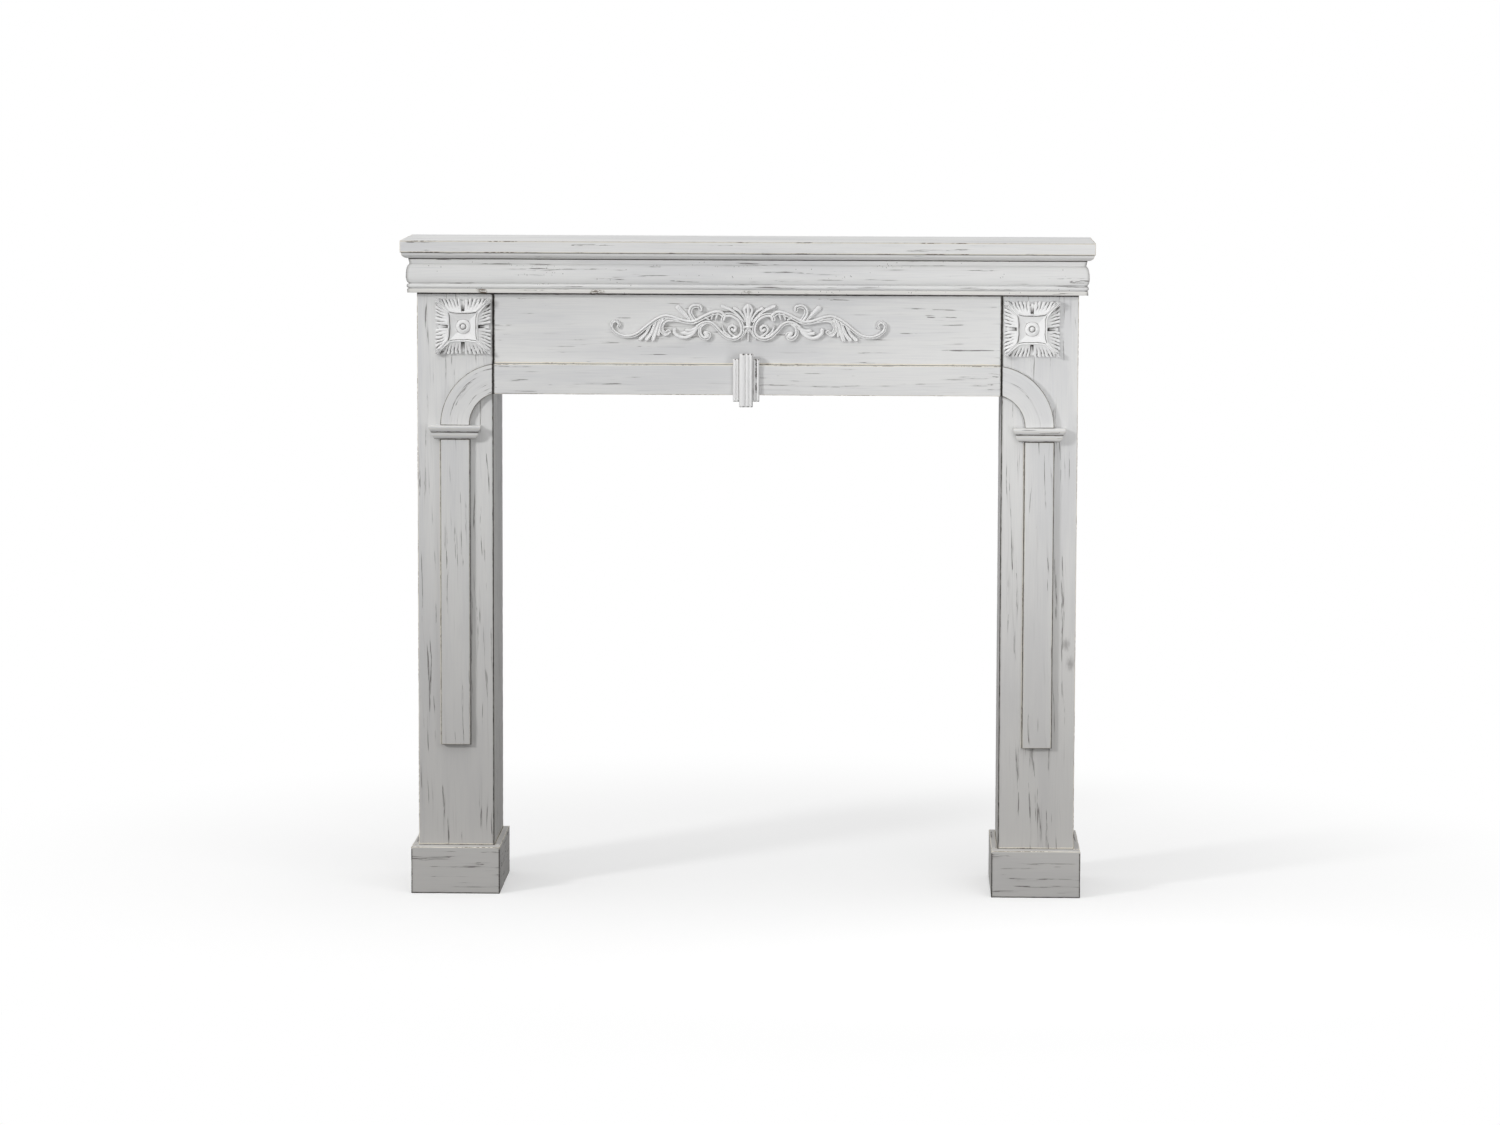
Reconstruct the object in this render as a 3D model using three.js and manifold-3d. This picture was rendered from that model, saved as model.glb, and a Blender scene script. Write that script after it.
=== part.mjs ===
// A painted wooden mantelpiece: two boxed legs on plinths, a frieze with a flat rail, a moulded
// cornice in three mitred lengths, and a shelf, with applied bands, caps, strips and carvings.
// Millimetres. X runs across, -Y is the front, +Z is up. The origin is on the floor, at the
// middle of the width and of the depth; the back edges stand against a wall.
import * as THREE from "three";
import { mergeVertices } from "three/addons/utils/BufferGeometryUtils.js";
import Module from "manifold-3d";

const wasm = await Module();
wasm.setup();

// Main sizes
const openingWidth = 859; // between the inner faces of the legs
const openingHeight = 853; // floor to the underside of the frieze
const legWidth = 129;
const legDepth = 203.5; // wall to the front of a leg
const friezeHeight = 171; // underside of the frieze to the underside of the cornice
const boardThickness = 15;
const jointGap = 0.3;

// Plinths, three boards wrapped round the foot of each leg
const plinthHeight = 80;
const plinthFrontThickness = 26.5;
const plinthSideThickness = 11;

// Cornice moulding: how far each member stands out from the faces of the legs, and its height
const corniceHeight = 57.7;
const filletOut = 15;
const filletHeight = 6.6;
const quirkOut = 12.2; // the grooves between the members
const quirkHeight = 1.3;
const beadRadius = 3.6;
const torusOut = 4.8; // past the grooves
const torusBelow = 11.5; // the torus is fullest this far above its foot
const torusAbove = 19.5; // and rises this much further
const topMember = { lowerOut: 11.2, upperOut: 13.2, height: 8.2 };

// Shelf
const shelfOverhang = 26.5; // past the faces of the legs
const shelfEdgeHeight = 20;
const ovoloHeight = 8.6; // under the edge
const ovoloQuirk = 2; // its step back from the edge
const ovoloQuirkHeight = 1.4;

// Bands, caps and strips on the legs and the frieze
const bandProud = 10;
const bandWidth = 49.5;
const archInnerRadius = 56;
const capUpper = { side: 19.5, proud: 22, height: 11.7, round: 4.5 };
const capLower = { side: 11.5, proud: 17, height: 11.3, round: 3.5 };
const stripFoot = 254; // floor to the lower end of a strip

// Keystone: reeds across its width, from left to right
const keystoneHeight = 89.5;
const keystoneWingDrop = 9; // each wing is this much shorter at top and bottom
const keystoneProud = 25;
const keystoneWingProud = 18;
const keystoneReeds = [5.4, 5.4, 10.2, 6.8, 5.4, 5.9, 5.4];
const keystoneWingReeds = 2; // reeds in each wing
const reedDepth = 2.6;
const keystoneShift = -1.2; // it sits a little to the left of the middle

// Carvings
const rosetteSide = 95;
const rosetteInset = 3; // from the inner edge of the leg
const rosetteLift = 2.7; // above the middle of the space between the rail and the cornice
const rosetteBorder = 4; // how proud the border is
const rosetteRim = 13; // how proud the rim is
const ornamentLength = 466;
const ornamentCentreDrop = 49; // from the top of the frieze
const ornamentShift = 1.8; // it sits a little to the right of the middle
const ornamentBase = 1.6; // height of a rib's upright sides
const routeUnits = 466; // the ornament's length in the units of the routes below

// Places worked out from the sizes
const innerX = openingWidth / 2;
const outerX = innerX + legWidth;
const legMiddle = innerX + legWidth / 2;
const legHeight = openingHeight + friezeHeight;
const depth = legDepth + Math.max(plinthFrontThickness, shelfOverhang);
const wallY = depth / 2;
const legFrontY = wallY - legDepth;
const stripInnerX = legMiddle - bandWidth / 2;
const archCentreX = stripInnerX - archInnerRadius;
const archOuterRadius = archInnerRadius + bandWidth;
const seamOffset = innerX - archCentreX; // from the centre of the arch to the seam
const archSpringZ = openingHeight - Math.sqrt(archInnerRadius ** 2 - seamOffset ** 2);
const railTopZ = archSpringZ + Math.sqrt(archOuterRadius ** 2 - seamOffset ** 2);
const capLowerZ = archSpringZ - capUpper.height - capLower.height;
const shelfUnderZ = legHeight + corniceHeight + jointGap;

const paint = (name, color) =>
  new THREE.MeshStandardMaterial({ name, color, roughness: 0.55, metalness: 0 });
const boardPaint = paint("painted_boards", 0xdedcd6);
const mouldingPaint = paint("painted_mouldings", 0xd8d6cf);
const carvingPaint = paint("painted_carvings", 0xe4e2dc);

const mantelpiece = new THREE.Group();

function add(name, geometry, material) {
  const mesh = new THREE.Mesh(geometry, material);
  mesh.name = name;
  mantelpiece.add(mesh);
}

// A flat board between two corners.
function addBoard(name, [x0, x1], [y0, y1], [z0, z1]) {
  const geometry = new THREE.BoxGeometry(Math.abs(x1 - x0), y1 - y0, z1 - z0);
  geometry.translate((x0 + x1) / 2, (y0 + y1) / 2, (z0 + z1) / 2);
  add(name, geometry, boardPaint);
}

// Turns a geometry whose faces point inwards, as a mirrored one does.
function facingOut(geometry) {
  const g = geometry.index ? geometry.toNonIndexed() : geometry;
  const p = g.getAttribute("position");
  const corner = (i) => new THREE.Vector3().fromBufferAttribute(p, i);
  let volume = 0;
  for (let i = 0; i < p.count; i += 3) {
    volume += corner(i).dot(corner(i + 1).cross(corner(i + 2)));
  }
  if (volume < 0) {
    for (let i = 0; i < p.count; i += 3) {
      const b = corner(i + 1);
      const c = corner(i + 2);
      p.setXYZ(i + 1, c.x, c.y, c.z);
      p.setXYZ(i + 2, b.x, b.y, b.z);
    }
  }
  g.deleteAttribute("normal");
  g.deleteAttribute("uv");
  g.computeVertexNormals();
  return g;
}

// A closed solid through a row of rings with the same number of points.
function loft(rings) {
  const size = rings[0].length;
  const points = rings.flat();
  const index = [];
  for (let r = 0; r + 1 < rings.length; r++) {
    for (let i = 0; i < size; i++) {
      const a = r * size + i;
      const b = r * size + ((i + 1) % size);
      index.push(a, b, b + size, a, b + size, a + size);
    }
  }
  const last = (rings.length - 1) * size;
  for (let i = 1; i + 1 < size; i++) {
    index.push(0, i + 1, i);
    index.push(last, last + i, last + i + 1);
  }
  const geometry = new THREE.BufferGeometry().setFromPoints(points).setIndex(index);
  return facingOut(geometry);
}

// A slab with a moulded front and ends and a flat back. Each level of its profile is a
// rectangle, given by its half width, how far it stands out from the leg fronts, and its height.
function mouldedSlab(centreX, backY, levels) {
  return loft(
    levels.map(([halfWidth, out, z]) => [
      new THREE.Vector3(centreX - halfWidth, legFrontY - out, z),
      new THREE.Vector3(centreX + halfWidth, legFrontY - out, z),
      new THREE.Vector3(centreX + halfWidth, backY, z),
      new THREE.Vector3(centreX - halfWidth, backY, z),
    ]),
  );
}

// A length of moulding: the profile is extruded by one unit, and each point is then placed by
// its distance out from the leg faces, its height, and the end of the length that it is on.
function mouldingLength(profile, place) {
  const geometry = new THREE.ExtrudeGeometry(profile, { depth: 1, bevelEnabled: false });
  const p = geometry.getAttribute("position");
  for (let i = 0; i < p.count; i++) {
    p.setXYZ(i, ...place(p.getX(i), p.getY(i), p.getZ(i) > 0.5 ? 1 : -1));
  }
  return facingOut(geometry);
}

// Joins solids that overlap or touch into one.
function joined(geometries) {
  const solids = geometries.map((g) => {
    const bare = new THREE.BufferGeometry().setAttribute("position", g.getAttribute("position"));
    const merged = mergeVertices(bare, 1e-4);
    return new wasm.Manifold(
      new wasm.Mesh({
        numProp: 3,
        vertProperties: new Float32Array(merged.getAttribute("position").array),
        triVerts: new Uint32Array(merged.index.array),
      }),
    );
  });
  const { vertProperties, triVerts } = solids.reduce((a, b) => a.add(b)).getMesh();
  const geometry = new THREE.BufferGeometry();
  geometry.setAttribute("position", new THREE.BufferAttribute(vertProperties, 3));
  geometry.setIndex(new THREE.BufferAttribute(triVerts, 1));
  return facingOut(geometry);
}

function addLeg(side, sign) {
  const inner = sign * innerX;
  const outer = sign * outerX;
  const heights = [0, legHeight - jointGap];
  const behindFront = [legFrontY + boardThickness + jointGap, wallY];
  addBoard(`leg_${side}_front_board`, [inner, outer], [legFrontY, legFrontY + boardThickness], heights);
  addBoard(`leg_${side}_outer_board`, [outer - sign * boardThickness, outer], behindFront, heights);
  // the inner board runs up behind the cornice to carry the shelf
  addBoard(`leg_${side}_inner_board`, [inner, inner + sign * boardThickness], behindFront, [
    0,
    shelfUnderZ - jointGap,
  ]);
}

function addPlinth(side, sign) {
  const inner = sign * (innerX - plinthSideThickness);
  const outer = sign * (outerX + plinthSideThickness);
  const heights = [0, plinthHeight];
  const boardLength = [legFrontY, wallY];
  addBoard(
    `plinth_${side}_front_board`,
    [inner, outer],
    [legFrontY - plinthFrontThickness, legFrontY - jointGap],
    heights,
  );
  addBoard(`plinth_${side}_inner_board`, [inner, sign * (innerX - jointGap)], boardLength, heights);
  addBoard(`plinth_${side}_outer_board`, [sign * (outerX + jointGap), outer], boardLength, heights);
}

function addFrieze() {
  const across = [-innerX + jointGap, innerX - jointGap];
  addBoard("frieze_panel", across, [legFrontY, legFrontY + boardThickness], [
    openingHeight,
    legHeight - jointGap,
  ]);
  addBoard("lower_rail", across, [legFrontY - bandProud, legFrontY - jointGap], [openingHeight, railTopZ]);
}

// The cornice profile, out from the leg faces and up from the underside of the cornice.
function corniceProfile() {
  const beadZ = filletHeight + quirkHeight + beadRadius;
  const torusZ = beadZ + beadRadius + quirkHeight + torusBelow;
  const shape = new THREE.Shape();
  // a half-round member, fullest at a height, with its own reach below and above that height
  const roundMember = (facets, middleZ, below, above, out) => {
    for (let i = 0; i <= facets; i++) {
      const a = (i / facets - 0.5) * Math.PI;
      shape.lineTo(quirkOut + out * Math.cos(a), middleZ + (a < 0 ? below : above) * Math.sin(a));
    }
  };
  shape.moveTo(-boardThickness, 0);
  shape.lineTo(filletOut, 0);
  shape.lineTo(filletOut, filletHeight);
  roundMember(4, beadZ, beadRadius, beadRadius, beadRadius);
  roundMember(8, torusZ, torusBelow, torusAbove, torusOut);
  shape.lineTo(topMember.lowerOut, corniceHeight - topMember.height);
  shape.lineTo(topMember.upperOut, corniceHeight);
  shape.lineTo(-boardThickness, corniceHeight);
  shape.closePath();
  return shape;
}

function addCornice() {
  const profile = corniceProfile();
  const mitre = jointGap / 2; // each side of a mitre is drawn back along the length by this
  add(
    "cornice_moulding_front",
    mouldingLength(profile, (out, up, end) => [
      end * (outerX + out - mitre),
      legFrontY - out,
      legHeight + up,
    ]),
    mouldingPaint,
  );
  for (const [side, sign] of [["left", -1], ["right", 1]]) {
    add(
      `cornice_moulding_${side}`,
      mouldingLength(profile, (out, up, end) => [
        sign * (outerX + out),
        end < 0 ? legFrontY - out + mitre : wallY,
        legHeight + up,
      ]),
      mouldingPaint,
    );
  }
}

function addShelf() {
  const facets = 4;
  const ovoloOut = shelfOverhang - ovoloQuirk;
  const edgeZ = ovoloHeight + ovoloQuirkHeight;
  const profile = [];
  for (let i = 0; i <= facets; i++) {
    const a = (i / facets) * (Math.PI / 2);
    const out = topMember.upperOut + (ovoloOut - topMember.upperOut) * Math.sin(a);
    profile.push([out, ovoloHeight * (1 - Math.cos(a))]);
  }
  profile.push([ovoloOut, edgeZ], [shelfOverhang, edgeZ], [shelfOverhang, edgeZ + shelfEdgeHeight]);
  const levels = profile.map(([out, up]) => [outerX + out, out, shelfUnderZ + up]);
  add("shelf_board", mouldedSlab(0, wallY, levels), boardPaint);
}

function addArch(side, sign) {
  const facets = 16;
  const outline = new THREE.Shape();
  const seamX = innerX + jointGap;
  const arcPoint = (radius, t) => {
    const end = Math.acos((seamX - archCentreX) / radius);
    return [archCentreX + radius * Math.cos(t * end), archSpringZ + radius * Math.sin(t * end)];
  };
  outline.moveTo(...arcPoint(archInnerRadius, 0));
  for (let i = 0; i <= facets; i++) outline.lineTo(...arcPoint(archOuterRadius, i / facets));
  for (let i = facets; i > 0; i--) outline.lineTo(...arcPoint(archInnerRadius, i / facets));
  const geometry = mouldingLength(outline, (x, z, end) => [
    sign * x,
    end < 0 ? legFrontY - bandProud : legFrontY - jointGap,
    Math.max(z, archSpringZ + jointGap),
  ]);
  add(`arch_band_${side}`, geometry, boardPaint);
}

// The profile of one tier of an impost cap, from its foot up: upright, and rounded over at its
// top or at its foot.
function capTier({ side, proud, height, round }, footZ, roundTop) {
  const facets = 3;
  const profile = [];
  for (let i = 0; i <= facets; i++) {
    const a = (i / facets) * (Math.PI / 2);
    profile.push([round * (1 - Math.cos(a)), height - round * (1 - Math.sin(a))]);
  }
  profile.unshift([0, 0]);
  const upright = roundTop ? profile : profile.map(([back, up]) => [back, height - up]).reverse();
  return upright.map(([back, up]) => [bandWidth / 2 + side - back, proud - back, footZ + up]);
}

function addCap(side, sign) {
  const levels = [
    ...capTier(capLower, capLowerZ, false),
    ...capTier(capUpper, capLowerZ + capLower.height, true),
  ];
  add(`impost_cap_${side}`, mouldedSlab(sign * legMiddle, legFrontY - jointGap, levels), mouldingPaint);
}

function addStrip(side, sign) {
  addBoard(
    `pilaster_strip_${side}`,
    [sign * stripInnerX, sign * (stripInnerX + bandWidth)],
    [legFrontY - bandProud, legFrontY - jointGap],
    [stripFoot, capLowerZ - jointGap],
  );
}

// The keystone is carved as one: reeds side by side, the outer ones shorter and set back.
function addKeystone() {
  const facets = 4;
  const overlap = 0.2; // of each reed into the one before it
  const middleZ = (openingHeight + railTopZ) / 2;
  const backY = legFrontY - bandProud - jointGap;
  let rightX = keystoneShift - keystoneReeds.reduce((a, b) => a + b) / 2;
  const reeds = keystoneReeds.map((reedWidth, i) => {
    const wing = Math.min(i, keystoneReeds.length - 1 - i) < keystoneWingReeds;
    const half = keystoneHeight / 2 - (wing ? keystoneWingDrop : 0);
    const crownY = legFrontY - (wing ? keystoneWingProud : keystoneProud);
    const leftX = rightX - (i > 0 ? overlap : 0);
    rightX += reedWidth;
    const span = rightX - leftX;
    const section = (back, z) => {
      const ring = [new THREE.Vector3(leftX + span, backY, z), new THREE.Vector3(leftX, backY, z)];
      for (let f = 0; f <= facets; f++) {
        const hollow = reedDepth * (1 - Math.sin((Math.PI * f) / facets));
        ring.push(new THREE.Vector3(leftX + (span * f) / facets, crownY + hollow + back, z));
      }
      return ring;
    };
    return loft([
      section(reedDepth, middleZ - half),
      section(0, middleZ - half + reedDepth),
      section(0, middleZ + half - reedDepth),
      section(reedDepth, middleZ + half),
    ]);
  });
  add("keystone", joined(reeds), carvingPaint);
}

// A rosette is a square boss: a dome in a dish, inside a four-pointed rim whose points run to
// the corners, with fluted leaves falling from the rim to the border. A reach is a share of its
// half side, and the other shares are of the rim's height.
const rosette = {
  pip: { reach: 0.08, share: 0.95 },
  dome: { reach: 0.2, share: 0.8 },
  dish: { reach: 0.31, share: 0.6 },
  rimInside: { reach: 0.03, share: 0.95 }, // this much inside the rim
  rimReach: 0.5, // at the middle of a side
  rimCurve: 0.924, // how fast the rim turns out towards the corners
  rimReachLimit: 0.94,
  leafShare: 0.76, // halfway from the rim to the border
  fluteCutShare: 0.18,
  flutesPerSide: 10,
  channelReach: 0.13, // half width of the cut at the middle of each side
  channelShare: 0.35,
};

// How far out the rim lies, at an angle from the middle of a side.
function rimReach(angle) {
  const limit = rosette.rimReachLimit / Math.cos(angle);
  let reach = rosette.rimReach / Math.cos(angle);
  for (let i = 0; i < 12; i++) {
    const across = Math.min(reach, limit) * Math.sin(Math.abs(angle));
    reach = (rosette.rimReach + rosette.rimCurve * across ** 4) / Math.cos(angle);
  }
  return Math.min(reach, limit);
}

function rosetteGeometry(centreX, centreZ) {
  const half = rosetteSide / 2;
  const perSide = 2 * rosette.flutesPerSide;
  const backY = legFrontY - jointGap;
  const columns = [];
  for (let i = 0; i < 4 * perSide; i++) {
    const across = (((i % perSide) + 0.5) / perSide) * 2 - 1;
    const angle = Math.atan(across);
    const turn = Math.floor(i / perSide) * (Math.PI / 2) + angle;
    const edge = 1 / Math.cos(angle);
    const rim = rimReach(angle);
    const cut = Math.abs(across) < rosette.channelReach ? rosette.channelShare : 1;
    const leaf = (i % 2 ? 1 : 1 - rosette.fluteCutShare) * cut;
    const at = (reach, proud) =>
      new THREE.Vector3(
        centreX + half * reach * Math.cos(turn),
        backY - proud,
        centreZ + half * reach * Math.sin(turn),
      );
    columns.push([
      at(edge, 0),
      at(edge, rosetteBorder * leaf),
      at((rim + edge) / 2, rosetteRim * rosette.leafShare * leaf),
      at(rim, rosetteRim),
      at(rim - rosette.rimInside.reach, rosetteRim * rosette.rimInside.share),
      ...[rosette.dish, rosette.dome, rosette.pip].map(({ reach, share }) =>
        at(reach, rosetteRim * share),
      ),
    ]);
  }
  return loft(columns[0].map((_, ring) => columns.map((column) => column[ring])));
}

function addRosette(side, sign) {
  const centreX = sign * (innerX + rosetteInset + rosetteSide / 2);
  const centreZ = (railTopZ + legHeight) / 2 + rosetteLift;
  add(`rosette_${side}`, rosetteGeometry(centreX, centreZ), carvingPaint);
}

// The scroll ornament. One half is a set of ribs, each a smooth route on the face of the
// frieze, measured out from the axis and up from the ornament's middle, in route units; the other
// half mirrors it. A rib's width and height run from its start to its end.
const scrollRibs = [
  // the long stem, from its end volute over the crest to the leaf beside the big scroll
  {
    route: [[220, -8], [218, -3.5], [223, 1.5], [229.5, -1.5], [230.5, -9.5], [223.5, -18.5], [207, -24.5],
      [190, -21.3], [165.7, -3.2], [153, 5.3], [141, 9.8], [130, 8.8], [105, 1], [93, 0.5], [71, 10.9],
      [59, 16], [48, 16.5], [42, 12]],
    width: [5, 8], height: [6, 8], facets: 34,
  },
  // the big scroll, from the joint under the stem round to its curled end
  {
    route: [[86, -8], [80.4, -3], [70, 0], [60.2, -2.4], [46, -17], [37.9, -24], [28.8, -27.4], [19.7, -26.4],
      [11.8, -20], [10, -11], [13, 0], [20, 8], [31, 12.7], [39.5, 11.2], [42.5, 5]],
    width: [5, 6.5], height: [6.5, 8], facets: 26,
  },
  // the small volute inside the big scroll, and the spur leaf beside it
  { route: [[18, -25.5], [24, -18], [27.8, -11]], width: [6, 12.5], height: [6, 10], facets: 3 },
  { route: [[44, -4.5], [42, -12], [38.4, -18], [32, -23.5]], width: [2, 6], height: [5, 6.5], facets: 4 },
  // the lower curl under the joint
  {
    route: [[74, -2.5], [80, -7], [82, -14], [80.5, -21.5], [74, -27], [68, -25.5], [66.5, -20.5],
      [71.5, -18.5]],
    width: [5, 8], height: [6, 8], facets: 12,
  },
  // the leafy swag that runs out from the joint, with two lobes
  {
    route: [[86, -6], [90, -15], [97, -22], [107, -25.8], [117, -24], [124, -18], [124.5, -12.5]],
    width: [6, 7], height: [6, 6.5], facets: 10,
  },
  { route: [[88, -9], [95, -14.5], [104, -16.5]], width: [5, 2], height: [6, 4], facets: 3 },
  { route: [[97, -19], [104, -20.5], [113, -18]], width: [5, 2], height: [6, 4], facets: 3 },
  // the hook above the stem, and the small leaf beside it
  {
    route: [[90, 3], [96.5, 12], [98, 19.5], [94.6, 26], [87.5, 28], [81, 25.5], [81.5, 20.5]],
    width: [8, 8], height: [6.5, 8], facets: 10,
  },
  { route: [[98, 3.5], [107, 12], [118, 22]], width: [7, 4], height: [5.5, 4], facets: 3 },
  // the broad leaf that turns down under the crest and curls in
  {
    route: [[104, -1], [118.5, 2.5], [130, 4], [140.5, 2], [145.8, -6], [145.5, -14.5], [140, -19.5],
      [134.5, -16]],
    width: [5, 9], height: [6, 7], facets: 12,
  },
  // four hanging leaves
  { route: [[166, -7], [173, -19.5], [182.3, -29.9]], width: [5, 2.5], height: [6, 5], facets: 4 },
  { route: [[157, -1], [163.5, -18], [172, -30.4]], width: [5.5, 2.5], height: [6, 5], facets: 4 },
  { route: [[150, 3], [156, -15], [160.7, -30.7]], width: [5.5, 2.5], height: [6, 5], facets: 4 },
  { route: [[145, 6], [151, -8], [152.5, -22]], width: [5.5, 2.5], height: [6, 5], facets: 4 },
  // two feathers that fan out from the palmette
  { route: [[7, 1], [16.5, 11.5], [28, 20.5], [44.5, 28]], width: [4.5, 2], height: [6, 5], facets: 5 },
  { route: [[4.5, 2], [9.5, 12], [15.7, 19.5], [23.8, 24.5]], width: [4.5, 2], height: [6, 5], facets: 5 },
  // three lobes under the stem's leaf
  { route: [[72, 8], [66, 4.5]], width: [6, 3], height: [6, 5], facets: 1 },
  { route: [[60, 14], [62.5, 5.5]], width: [6, 3], height: [6, 5], facets: 1 },
  { route: [[52, 15], [55, 5]], width: [6, 3], height: [6, 5], facets: 1 },
  // half of the palmette: a side petal and a leaf of the tuft below it
  { route: [[1.5, -4], [3.5, 10], [6.5, 22], [2, 28.5]], width: [5, 6], height: [6, 8], facets: 5 },
  { route: [[1.5, -9], [7, -20], [13, -28.5]], width: [5, 2.5], height: [6, 5], facets: 3 },
];
// ribs on the axis: the middle petal, the collar and the middle of the tuft
const axisRibs = [
  { route: [[0, -6], [0, 10], [0, 30]], width: [4, 7.5], height: [6, 9], facets: 3 },
  { route: [[-5.5, -7.5], [5.5, -7.5]], width: [4.6, 4.6], height: [8, 8], facets: 1 },
  { route: [[0, -9], [0, -31]], width: [5, 3], height: [6, 5], facets: 1 },
];

// A rib as a solid: a section with sloping sides, swept along its route.
function ribGeometry({ route, width, height, facets }, sign, place) {
  const scale = ornamentLength / routeUnits;
  const curve = new THREE.CatmullRomCurve3(
    route.map(([out, up]) => new THREE.Vector3(sign * out, 0, up).multiplyScalar(scale)),
    false,
    "centripetal",
  );
  const crestShare = 0.36; // of the rib's width
  const rings = [];
  for (let i = 0; i <= facets; i++) {
    const t = i / facets;
    const middle = curve.getPointAt(t);
    const along = curve.getTangentAt(t);
    const across = new THREE.Vector3(along.z, 0, -along.x);
    const half = (scale * THREE.MathUtils.lerp(width[0], width[1], t)) / 2;
    const rise = scale * THREE.MathUtils.lerp(height[0], height[1], t);
    const at = (offset, proud) => {
      const p = middle.clone().addScaledVector(across, offset);
      return place(p.x, proud, p.z);
    };
    rings.push([
      at(-half, 0),
      at(-half, ornamentBase),
      at(-half * crestShare, rise),
      at(half * crestShare, rise),
      at(half, ornamentBase),
      at(half, 0),
    ]);
  }
  return loft(rings);
}

function addScrollOrnament() {
  const middleZ = legHeight - ornamentCentreDrop;
  const base = legFrontY - jointGap;
  const place = (x, proud, z) => new THREE.Vector3(ornamentShift + x, base - proud, middleZ + z);
  const ribs = axisRibs.map((rib) => ribGeometry(rib, 1, place));
  for (const sign of [-1, 1]) ribs.push(...scrollRibs.map((rib) => ribGeometry(rib, sign, place)));
  add("scroll_ornament", joined(ribs), carvingPaint);
}

for (const [side, sign] of [["left", -1], ["right", 1]]) {
  addLeg(side, sign);
  addPlinth(side, sign);
  addArch(side, sign);
  addCap(side, sign);
  addStrip(side, sign);
  addRosette(side, sign);
}
addFrieze();
addKeystone();
addScrollOrnament();
addCornice();
addShelf();

export default mantelpiece;
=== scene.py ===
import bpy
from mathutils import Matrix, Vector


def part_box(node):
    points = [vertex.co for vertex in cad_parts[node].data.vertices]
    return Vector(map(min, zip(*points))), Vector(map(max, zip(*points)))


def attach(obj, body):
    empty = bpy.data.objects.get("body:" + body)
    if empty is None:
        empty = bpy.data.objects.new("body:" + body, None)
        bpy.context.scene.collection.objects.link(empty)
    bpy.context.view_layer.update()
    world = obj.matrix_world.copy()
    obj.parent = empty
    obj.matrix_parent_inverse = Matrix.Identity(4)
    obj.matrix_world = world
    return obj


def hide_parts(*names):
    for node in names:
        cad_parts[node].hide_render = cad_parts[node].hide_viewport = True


bl_info = {
    "name": "Painted Mantelpiece",
    "version": (1, 0, 0),
    "blender": (4, 5, 0),
    "location": "View3D > Sidebar > Mantelpiece",
    "description": "Makes a distressed white wooden mantelpiece with applied carvings",
    "category": "Add Mesh",
}

import math

import bpy
import numpy as np
from bpy.props import FloatProperty, FloatVectorProperty, IntProperty, PointerProperty
from mathutils import Matrix, Vector

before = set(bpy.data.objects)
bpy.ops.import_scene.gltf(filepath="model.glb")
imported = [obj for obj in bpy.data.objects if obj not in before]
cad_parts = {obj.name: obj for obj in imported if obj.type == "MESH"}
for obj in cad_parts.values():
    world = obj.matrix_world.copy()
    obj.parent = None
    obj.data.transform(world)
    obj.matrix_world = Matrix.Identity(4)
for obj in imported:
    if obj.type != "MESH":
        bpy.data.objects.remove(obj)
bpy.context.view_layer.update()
MM = 0.001
SIDES = (("left", -1), ("right", 1))


# Properties

def length(name, description, millimetres):
    return FloatProperty(
        name=name, description=description, default=millimetres * MM, subtype="DISTANCE", unit="LENGTH"
    )


def share(name, description, default):
    return FloatProperty(name=name, description=description, default=default, min=0, max=1, subtype="FACTOR")


def colour(name, description, default):
    return FloatVectorProperty(
        name=name, description=description, default=default, size=4, min=0, max=1, subtype="COLOR"
    )


def angle(name, description, default):
    return FloatProperty(name=name, description=description, default=default, subtype="ANGLE")


def power(name, description, default):
    return FloatProperty(name=name, description=description, default=default, unit="POWER")


class PaintSettings(bpy.types.PropertyGroup):
    light: colour("Paint", "The white paint where it is whole", (0.87, 0.87, 0.862, 1))
    shade: colour("Thin Paint", "The paint where it is brushed thin", (0.78, 0.783, 0.79, 1))
    cream: colour("Cream Edge", "Undercoat that shows along worn arrises", (0.89, 0.845, 0.74, 1))
    streak: colour("Streak", "Dry grey-brown brush marks", (0.165, 0.15, 0.145, 1))
    bare: colour("Bare Wood", "Brown wood where the paint is rubbed through", (0.165, 0.13, 0.095, 1))
    # painted shade: the grey that the paint turns towards the floor stands for the light falling off lower
    # down
    floor_shade: colour("Grime", "Grey dirt that gathers towards the floor", (0.42, 0.40, 0.375, 1))
    # this grey is glaze in the joints and quirks, and painted shade in the hollows and on the down-right
    # sides of the carvings
    glaze_and_shade: colour("Glaze", "Grey glaze left in hollows and along joints", (0.26, 0.25, 0.24, 1))
    # near-black dirt in the joints, and painted shade in the deepest hollows of the carvings
    seam: colour("Seam", "Dirt in joints and deep hollows", (0.028, 0.022, 0.018, 1))
    roughness: share("Roughness", "Roughness of the paint", 0.62)


class BoardSettings(bpy.types.PropertyGroup):
    arris: length("Arris Radius", "Usual radius of a worn edge", 1.0)
    chip: length("Chip Depth", "Depth of the chips along an edge", 0.8)
    step: length("Step", "Distance between the mesh lines along a board", 7.0)
    band_radius: length("Band Radius", "Inner radius of the quarter-round bands", 56.0)


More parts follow.
